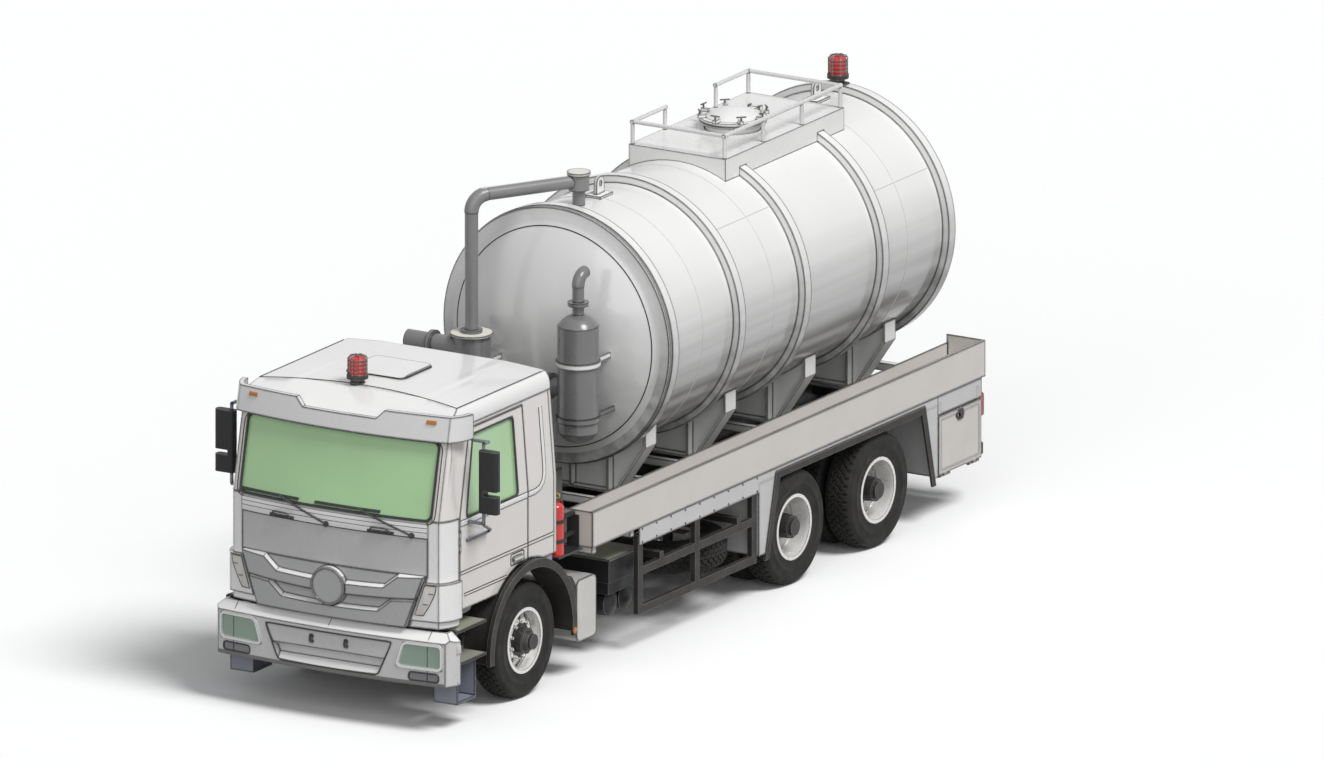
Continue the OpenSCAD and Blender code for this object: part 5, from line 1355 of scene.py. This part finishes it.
@dataclass
class Beacons:
    """Wire guards over the beacons."""

    radius: float = 0.088
    wire: float = 0.0048
    rings: tuple[float, ...] = (0.082, 0.118, 0.154, 0.190, 0.222)
    uprights: int = 8
    upright: Outline = ((1.0, 0.070), (1.0, 0.222), (0.85, 0.243), (0.45, 0.254), (0.08, 0.256))
    places: dict[str, Point] = field(default_factory=lambda: {
        "cab_beacon": (-0.100, -0.870, 2.953), "tank_beacon": (0.0, 7.247, 3.832)})

    def build(self) -> None:
        """Builds a guard over each beacon."""
        for name, place in self.places.items():
            kit = MeshKit()
            base = spot(*place)
            for height in self.rings:
                kit.tube([base + self._round(1.0, a, height) for a in turns(32)],
                         self.wire, 6, closed=True)
            for turn in turns(self.uprights):
                kit.tube([base + self._round(share, turn, height)
                          for share, height in self.upright], self.wire, 6)
            kit.make(f"{name}_guard", CHASSIS, HUB_DARK)

    def _round(self, share: float, turn: float, height: float) -> Vector:
        """Point at a share of the radius, a turn and a height."""
        radius = self.radius * share
        return Vector((radius * math.cos(turn), radius * math.sin(turn), height))


@dataclass
class TankTrim:
    """Weld beads and seams of the tank, gratings beside its saddles and the lid's clamp bolts."""

    axis_z: float = 2.630
    radius: float = 1.1205
    weld_r: float = 0.0045
    welds: tuple[float, ...] = (3.070, 4.300, 6.600)
    # Long welds: start, end and turn from the top in degrees
    long_welds: tuple[Point, ...] = ((2.56, 3.58, -38.0), (3.71, 4.71, 47.0), (4.84, 6.05, -52.0),
                                     (6.18, 7.19, 60.0))
    # Seams of the front end: place along, radius and thickness
    front_seams: tuple[Point, ...] = ((2.363, 1.015, 0.006), (2.429, 1.133, 0.008))
    gratings: Outline = ((1.10, 1.65), (1.75, 2.40), (2.50, 3.19), (3.29, 3.83), (3.93, 5.17),
                         (5.28, 6.86), (6.96, 7.61))
    grating_x: Place = (0.480, 0.838)
    grating_pitch: float = 0.045
    bearer: Place = (0.012, 0.05)
    bar_half: float = 0.004
    bar_z: Place = (0.003, 0.026)
    bar_chamfer: float = 0.001
    saddle_ys: tuple[float, ...] = (2.720, 4.093, 5.467, 6.840)
    saddle_room: float = 0.11
    deck_z: Place = (1.172, 0.03)
    lid: Point = (0.0, 5.438, 3.921)
    lid_r: float = 0.308
    bolts: int = 7
    bolt_turns: Place = (135.0, 45.0)
    bolt: Point = (0.050, 0.070, 0.098)
    bolt_r: float = 0.009
    bar_rise: float = 0.092
    bar: tuple[float, ...] = (-0.045, -0.015, 0.015, 0.045)
    bar_r: float = 0.0075

    def build(self) -> None:
        """Builds the tank's trim."""
        welds, seams = MeshKit(), MeshKit()
        for y in self.welds:
            welds.tube([self._round(y, a, self.radius) for a in turns(120)], self.weld_r, 6,
                       closed=True)
        for start, end, turn in self.long_welds:
            welds.tube([self._round(start + (end - start) * k / 12, math.radians(turn), self.radius)
                        for k in range(13)], self.weld_r, 6)
        welds.make("tank_weld_beads", CHASSIS, WELD_WHITE)
        for y, radius, thick in self.front_seams:
            seams.tube([self._round(y, a, radius) for a in turns(144)], thick, 6, closed=True)
        seams.make("tank_front_seams", CHASSIS, RUBBER_SEAL)
        self._gratings()
        self._clamps()

    def _round(self, y: float, turn: float, radius: float) -> Vector:
        """Point at a place along the tank, a turn from its top and a radius."""
        return spot(radius * math.sin(turn), y, self.axis_z + radius * math.cos(turn))

    def _gratings(self) -> None:
        """Builds bar gratings between the bearers."""
        kit = MeshKit()
        (low_x, high_x), (low_z, thick) = self.grating_x, self.deck_z
        edge, overlap = self.bearer
        bar_low, bar_high = (low_z + rise for rise in self.bar_z)
        for side in SIDES:
            for start, end in self.gratings:
                for x in (low_x, high_x - edge):
                    kit.side_box(side, (x, start - overlap, low_z),
                                 (x + edge, end + overlap, low_z + thick), self.bar_chamfer)
                for k in range(round((end - start) / self.grating_pitch) + 1):
                    y = start + self.grating_pitch * k
                    if min(abs(y - s) for s in self.saddle_ys) < self.saddle_room:
                        continue
                    kit.side_box(side, (low_x, y - self.bar_half, bar_low),
                                 (high_x, y + self.bar_half, bar_high), self.bar_chamfer)
        kit.make("deck_gratings", CHASSIS, GRATE_GREY)

    def _clamps(self) -> None:
        """Builds the clamp bolts round the manhole's lid, with none at its hinge."""
        kit = MeshKit()
        first, step = self.bolt_turns
        for k in range(self.bolts):
            a = math.radians(first + step * k)
            out = Vector((math.cos(a), math.sin(a), 0.0))
            along = Vector((-math.sin(a), math.cos(a), 0.0))
            foot = spot(*self.lid) + out * self.lid_r
            kit.tube([foot + Vector((0, 0, h)) for h in self.bolt], self.bolt_r)
            top = foot + Vector((0, 0, self.bar_rise))
            kit.tube([top + along * away for away in self.bar], self.bar_r)
        kit.make("manhole_clamp_bolts", "manhole_lid", HUB_DARK)


@dataclass
class SpareWheel:
    """Spare wheel on its carrier under the frame."""

    tyre: Tyre = field(default_factory=Tyre)
    rim: Outline = ((0.290, -0.110), (0.290, 0.110), (0.270, 0.110), (0.262, 0.060),
                    (0.262, -0.010), (0.215, -0.036), (0.120, -0.044), (0.060, -0.044),
                    (0.060, -0.058), (0.122, -0.058), (0.220, -0.050), (0.262, -0.030),
                    (0.262, -0.060), (0.270, -0.110))
    post: Outline = ((0.001, -0.030), (0.100, -0.030), (0.100, -0.022), (0.045, -0.018),
                     (0.045, 0.153), (0.001, 0.153))
    # Carrier plate: reach past the middle, half width, thickness and chamfer
    plate: tuple[float, ...] = (0.20, 0.06, 0.008, 0.003)
    place: Place = (0.670, 3.210)

    def build(self) -> None:
        """Builds the tyre, the rim and the carrier, which stand for the node."""
        low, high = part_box("spare_wheel")
        middle = spot(*self.place, low[2] + self.tyre.width / 2)
        at = Matrix.Translation(middle)
        rubber, metal, carrier = MeshKit(), MeshKit(), MeshKit()
        self.tyre.build(rubber, at)
        metal.lathe(self.rim, at, 64)
        carrier.lathe(self.post, at, 32, closed=False)
        reach, half, thick, chamfer = self.plate
        carrier.box((low[0], middle.y - half, high[2] - thick),
                    (middle.x + reach, middle.y + half, high[2]), chamfer)
        for name, kit, finish in (("tyre", rubber, TYRE_RUBBER), ("rim", metal, RIM_METAL),
                                  ("carrier", carrier, FRAME_DARK)):
            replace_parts(kit.make(f"spare_wheel_{name}", CHASSIS, finish), "spare_wheel")


@dataclass
class Seats:
    """Three cab seats with crowned, sewn cushions on sprung stands."""

    places: dict[str, float] = field(
        default_factory=lambda: {"right": -0.62, "middle": 0.0, "left": 0.62})
    # Pads: place along and height of the middle, half sizes, and axis of the crown
    pads: dict[str, tuple[Place, Point, int]] = field(default_factory=lambda: {
        "cushion": ((-0.095, 1.641), (0.238, 0.232, 0.068), 2),
        "back": ((0.207, 1.950), (0.238, 0.060, 0.366), 1),
        "headrest": ((0.201, 2.402), (0.138, 0.047, 0.076), 1)})
    grid: int = 16
    power: float = 6.0
    crown: float = 0.22
    channels: tuple[float, ...] = (-0.46, 0.46)
    channel_width: float = 0.05
    channel_depth: float = 0.12
    pull: Place = (0.035, 0.025)
    foot_y: float = -0.055
    # Plates of the stand: half sizes across and along, heights and chamfer
    stand: tuple[tuple[float, ...], ...] = ((0.155, 0.170, 1.290, 1.330, 0.006),
                                            (0.158, 0.173, 1.540, 1.569, 0.005))
    # Pleats of the boot: the same, then the step up and the inset of every other one
    boot: tuple[float, ...] = (0.145, 0.160, 1.329, 1.361, 0.008)
    pleats: int = 7
    pleat: Place = (0.030, 0.014)
    post: tuple[float, ...] = (0.07, 0.205, 0.008)
    post_zs: Point = (2.300, 2.330, 2.345)

    def build(self) -> None:
        """Builds the cushions and stands, which stand for the seats' node."""
        for name, x in self.places.items():
            for pad, ((y, z), half, axis) in self.pads.items():
                self._pad(f"seat_{pad}_{name}", (x, y, z), half, axis)
            self._stand(name, x)

    def _pad(self, name: str, middle: Point, half: Point, axis: int) -> None:
        """Builds one stuffed pad.

        Args:
            name: Name of the pad.
            middle: Its middle, with the place along from the front axle.
            half: Its half sizes.
            axis: Axis of its crown: 1 for forwards, 2 for upwards.
        """
        kit = MeshKit()
        row = self.grid + 1
        faces = [(i * row + j, i * row + j + 1, (i + 1) * row + j + 1, (i + 1) * row + j)
                 for i in range(self.grid) for j in range(self.grid)]
        for flat in range(3):
            for sign in SIDES:
                points = []
                for i in range(row):
                    for j in range(row):
                        cube = [0.0, 0.0, 0.0]
                        cube[flat] = sign
                        cube[(flat + 1) % 3] = 2.0 * i / self.grid - 1.0
                        cube[(flat + 2) % 3] = 2.0 * j / self.grid - 1.0
                        points.append(self._stuffed(cube, axis, middle, half))
                kit.add(points, faces)
        piece = kit.make(name, CHASSIS, SEAT_FABRIC)
        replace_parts(piece, "cab_seats")

    def _stuffed(self, cube: Sequence[float], axis: int, middle: Point, half: Point) -> Vector:
        """Moves a point of a unit cube onto a rounded, crowned and sewn pad.

        Args:
            cube: Point on the cube.
            axis: Axis of the crown.
            middle: Middle of the pad.
            half: Half sizes of the pad.

        Returns:
            The point of the pad.
        """
        size = sum(abs(c) ** self.power for c in cube) ** (1.0 / self.power)
        q = [c / size for c in cube]
        rise = 3 - axis
        crown = 1.0 - self.crown + self.crown * (1.0 - q[0] ** 2) * (1.0 - q[rise] ** 2)
        facing = max(0.0, -q[1] if axis == 1 else q[2])
        sewn = sum(math.exp(-((q[0] - c) / self.channel_width) ** 2) for c in self.channels)
        q[axis] *= crown - sewn * facing * self.channel_depth
        q[0] *= 1.0 - self.pull[0] * (1.0 - q[rise] ** 2)
        q[rise] *= 1.0 - self.pull[1] * (1.0 - q[0] ** 2)
        return spot(*(m + c * h for m, c, h in zip(middle, q, half)))

    def _stand(self, name: str, x: float) -> None:
        """Builds the stand under one seat, with a pleated boot over its spring.

        Args:
            name: Name of the seat.
            x: Place of the seat across the cab.
        """
        kit = MeshKit()
        base, top = self.stand
        self._plate(kit, x, base)
        across, along, low, high, chamfer = self.boot
        for k in range(self.pleats):
            inset = self.pleat[1] if k % 2 else 0.0
            up = self.pleat[0] * k
            self._plate(kit, x, (across - inset, along - inset, low + up, high + up, chamfer))
        self._plate(kit, x, top)
        away, y, radius = self.post
        for side in SIDES:
            kit.tube([spot(x + side * away, y, z) for z in self.post_zs], radius)
        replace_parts(kit.make(f"seat_stand_{name}", CHASSIS, INTERIOR), "cab_seats")

    def _plate(self, kit: MeshKit, x: float, sizes: Sequence[float]) -> None:
        """Adds one plate of a stand.

        Args:
            kit: Mesh that takes it.
            x: Place of the seat across the cab.
            sizes: Half sizes across and along, lowest and highest point, and chamfer.
        """
        across, along, low, high, chamfer = sizes
        kit.box(spot(x - across, self.foot_y - along, low),
                spot(x + across, self.foot_y + along, high), chamfer)


@dataclass
class ToolboxTrim:
    """Locks on the toolbox doors and rims round the tail lamps."""

    door_x: float = 1.250
    lock_y: float = 7.290
    # Plate and latch of a lock: thickness, half width, heights and chamfer
    lock: tuple[tuple[float, ...], ...] = ((0.010, 0.045, 0.880, 0.975, 0.004),
                                           (0.022, 0.012, 0.893, 0.945, 0.005))
    lamp: Outline = ((0.905, 0.785), (0.905, 0.995), (1.185, 0.995), (1.185, 0.785))
    lamp_y: float = 7.794
    lamp_corner: float = 0.025
    rim_inset: float = 0.002
    rim_r: float = 0.007
    bar_shares: Place = (0.36, 0.68)
    bar_zs: Point = (0.790, 0.890, 0.990)
    bar_r: float = 0.004

    def build(self) -> None:
        """Builds the locks and the lamp rims."""
        rims = MeshKit()
        start, end = self.lamp[0][0], self.lamp[-1][0]
        for side in SIDES:
            kit = MeshKit()
            for thick, half, low, high, chamfer in self.lock:
                kit.side_box(side, (self.door_x, self.lock_y - half, low),
                             (self.door_x + thick, self.lock_y + half, high), chamfer)
            name = SIDE_NAME[side]
            kit.make(f"toolbox_lock_{name}", f"toolbox_door_{name}", HUB_DARK)
            loop = loop_points(mirrored(self.lamp, side), self.lamp_corner)
            rims.tube([spot(u, self.lamp_y - self.rim_inset, v) for u, v in loop],
                      self.rim_r, closed=True)
            for share in self.bar_shares:
                x = side * (start + (end - start) * share)
                rims.tube([spot(x, self.lamp_y, z) for z in self.bar_zs], self.bar_r)
        rims.make("tail_lamp_rims", CHASSIS, RUBBER_SEAL)


@dataclass
class Studio:
    """Floor, light and the camera at the photograph's angle."""

    azimuth: float = math.radians(31.2)
    elevation: float = math.radians(15.43)
    pixels_per_metre: float = 112.0
    frame_width: int = 1324
    offset: Place = (2.183, 2.690)
    distance: float = 40.0
    floor_half: float = 200.0
    floor_seen: float = 0.99
    floor_calm: float = 0.22
    sky: Colour = (0.96, 0.98, 1.0)
    sky_strength: float = 0.23
    # Lamps: strength, direction from the truck, and angle of the disc in degrees
    suns: dict[str, tuple[float, Point, float]] = field(default_factory=lambda: {
        "key_light": (2.50, (0.62, -0.10, 0.90), 24.0),
        "front_fill": (1.10, (0.35, -0.85, 0.36), 60.0)})

    def build(self) -> None:
        """Makes the camera, the floor and the lights."""
        scene = bpy.context.scene
        scene.view_settings.view_transform = "Standard"
        self._camera(scene)
        self._floor(scene)
        self._world(scene)
        for name, lamp in self.suns.items():
            self._sun(name, *lamp)

    def _camera(self, scene: bpy.types.Scene) -> None:
        """Makes the parallel camera that frames the truck as the photograph does.

        Args:
            scene: Scene that takes it.
        """
        a, e = self.azimuth, self.elevation
        back = Vector((math.sin(a) * math.cos(e), -math.cos(a) * math.cos(e), math.sin(e)))
        right = Vector((math.cos(a), math.sin(a), 0.0))
        up = back.cross(right)
        target = spot(0.0, 0.0, 0.0) + right * self.offset[0] + up * self.offset[1]
        data = bpy.data.cameras.new("photo_camera")
        data.type = "ORTHO"
        data.ortho_scale = self.frame_width / self.pixels_per_metre
        data.clip_end = 4 * self.distance
        camera = bpy.data.objects.new("photo_camera", data)
        turn = Matrix((right, up, back)).transposed().to_4x4()
        camera.matrix_world = Matrix.Translation(target + back * self.distance) @ turn
        scene.collection.objects.link(camera)
        scene.camera = camera

    def _floor(self, scene: bpy.types.Scene) -> None:
        """Makes the pale floor, which keeps the truck's shadow and throws little light back.

        Args:
            scene: Scene that takes it.
        """
        mesh = bpy.data.meshes.new("studio_floor")
        h = self.floor_half
        mesh.from_pydata([(-h, -h, 0), (h, -h, 0), (h, h, 0), (-h, h, 0)], [], [(0, 1, 2, 3)])
        floor = bpy.data.objects.new("studio_floor", mesh)
        scene.collection.objects.link(floor)
        material = bpy.data.materials.new("studio_floor_pale")
        material.use_nodes = True
        nodes = NodeKit(material.node_tree)
        nodes.tree.nodes.remove(nodes.tree.nodes["Principled BSDF"])
        calm, pale = (nodes.add("BsdfDiffuse", {"Color": (c, c, c, 1.0)}).outputs["BSDF"]
                      for c in (self.floor_calm, self.floor_seen))
        nodes.show("Material Output", calm, pale)
        mesh.materials.append(material)

    def _world(self, scene: bpy.types.Scene) -> None:
        """Makes even sky light, pale where the camera, gloss or glass sees it.

        Args:
            scene: Scene that takes it.
        """
        world = bpy.data.worlds.new("studio_world")
        scene.world = world
        world.use_nodes = True
        nodes = NodeKit(world.node_tree)
        light = nodes.tree.nodes["Background"]
        nodes.fill(light, {"Color": (*self.sky, 1.0), "Strength": self.sky_strength})
        pale = nodes.add("Background", {"Strength": 1.0})
        nodes.show("World Output", light.outputs["Background"], pale.outputs["Background"])

    @staticmethod
    def _sun(name: str, strength: float, towards: Point, softness: float) -> None:
        """Adds a soft distant lamp.

        Args:
            name: Name of the lamp.
            strength: Its strength.
            towards: Direction from the truck to the lamp.
            softness: Angle of its disc in degrees.
        """
        data = bpy.data.lights.new(name, "SUN")
        data.energy = strength
        data.angle = math.radians(softness)
        lamp = bpy.data.objects.new(name, data)
        lamp.rotation_euler = Vector(towards).to_track_quat("Z", "Y").to_euler()
        bpy.context.scene.collection.objects.link(lamp)


def both(*stems: str) -> list[str]:
    """Names of nodes that there are on the left and on the right."""
    return [f"{stem}_{side}" for stem in stems for side in SIDE_NAME.values()]


# Nodes that wear each finish
WEARERS: dict[Finish, list[str]] = {
    FRAME_DARK: ["frame_rails", "cross_members", "rear_bumper"],
    CAST: ["engine_gearbox", "front_axle", "rear_axles", *both("knuckle")],
    TYRE_RUBBER: ["spare_wheel", *both("tyre_front", "tyres_mid", "tyres_rear")],
    RIM_METAL: both("rim_front", "rims_mid", "rims_rear"),
    CAB_SIDE: ["cab_tub", "cab_frame", *both("door")],
    CAB_WHITE: ["cab_roof", "corner_panels"],
    GLASS: ["windscreen", *both("door_glass")],
    FRONT_PAINTED_SHADE: ["front_panel"],
    GRILLE_GREY: ["grille"],
    VISOR_WHITE: ["sun_visor"],
    RUBBER_SEAL: ["wipers"],
    INTERIOR: ["cab_interior"],
    SEAT_FABRIC: ["cab_seats"],
    BEACON_RED: ["cab_beacon", "tank_beacon"],
    BUMPER_PAINTED_SHADE: ["bumper"],
    LAMP_GLASS: ["lamps"],
    STEP_BLUE: ["entry_steps"],
    GUARD_DARK: ["mudguard_trims", "side_guards"],
    SKIRT_GREY: ["rear_mudguards", "toolboxes"],
    BODY_GREY: ["hose_trays", *both("toolbox_door")],
    ALUMINIUM: ["fuel_tanks"],
    PLASTIC_DARK: ["battery_box", *both("mirror")],
    SUBFRAME: ["tank_frame", "tank_fittings"],
    TANK_WHITE: ["tank_shell"],
    RAIL_WHITE: ["platform", "manhole_lid"],
    PIPE_GREY: ["vacuum_pipes"],
    VESSEL_GREY: ["vessels"],
    SIGNAL_RED: ["fire_extinguisher"],
}

# The bars that carry the mirror heads: inboard of the shell, above it and below it
MIRROR_ARMS: list[Area] = [Zone(PLATE_LILAC, x=(-1.274, 1.274)), Zone(PLATE_LILAC, z=(2.562, FAR)),
                           Zone(PLATE_LILAC, z=(-FAR, 1.984))]

# Hubs: stem of the rims' names, place of the axle and radius
HUBS = (("rim_front", 0.0, 0.150), *((f"rims_{axle}", y, 0.125) for axle, y in REAR_YS.items()))

AREAS: dict[str, list[Area]] = {
    "bumper": [Zone(HUB_DARK, (-0.196, 0.196), (-4.719, -4.6905), (0.685, 0.765))],
    "cab_beacon": [Zone(HUB_DARK, z=(-FAR, 3.029))],
    "tank_beacon": [Zone(HUB_DARK, z=(-FAR, 3.909))],
    "lamps": [Zone(LAMP_RED, y=(4.0, FAR)), Zone(LAMP_SMOKE, z=(-FAR, 0.575))],
    "battery_box": [Zone(BATTERY_LID, z=(0.9045, FAR))],
    "vacuum_pipes": [Zone(PIPE_CAP, z=(4.030, FAR))],
    "tank_shell": [Zone(DISH_WHITE, y=(-FAR, AXLE_Y + 2.390)),
                   Zone(DISH_WHITE, y=(AXLE_Y + 7.311, FAR))],
    "vessels": [*(Collar(SUBFRAME, (side * 0.557, AXLE_Y + 1.850), 0.190, (low, low + 0.052))
                  for side, low in zip(SIDES, (2.559, 2.399))),
                Zone(PIPE_CAP, x=(-0.80, -0.30), z=(2.687, 2.720))],
    "entry_steps": [Zone(BATTERY_LID, z=(0.6245, 0.6260)), Zone(BATTERY_LID, z=(0.9295, 0.9310)),
                    Zone(PLASTIC_DARK, z=(0.480, FAR))],
    "fire_extinguisher": [Zone(PLASTIC_DARK, z=(-FAR, 1.168)),
                          Zone(RUBBER_SEAL, z=(1.2855, 1.3165)),
                          Zone(RUBBER_SEAL, z=(1.4655, 1.4965)),
                          Zone(HUB_DARK, z=(1.660, FAR)),
                          Zone(RUBBER_SEAL, y=(AXLE_Y + 0.722, FAR))],
    "cab_frame": [Zone(PLATE_LILAC, z=(-FAR, 1.235))],
    **{name: MIRROR_ARMS for name in both("mirror")},
    **{name: [Drum(HUB_DARK, AXLE_Y + y, AXLE_Z, radius)]
       for stem, y, radius in HUBS for name in both(stem)},
}

CAD_LOOKS = CadFinishes(
    plain={node: finish for finish, nodes in WEARERS.items() for node in nodes},
    zones=AREAS,
    # The grille's and bumper's upward faces take white paint as painted light
    lit_tops={"grille": LIT_TOP_WHITE, "bumper": LIT_TOP_WHITE},
)


def main() -> None:
    """Builds every sub-assembly in order."""
    logging.basicConfig(level=logging.INFO, format="%(message)s")
    Studio().build()
    CAD_LOOKS.dress()
    Wheels().build()
    SpareWheel().build()
    FrontTrim().build()
    BumperTrim().build()
    for side in SIDES:
        DoorTrim(side).build()
    SideTrim().build()
    Beacons().build()
    TankTrim().build()
    ToolboxTrim().build()
    Seats().build()


if __name__ == "__main__":
    main()
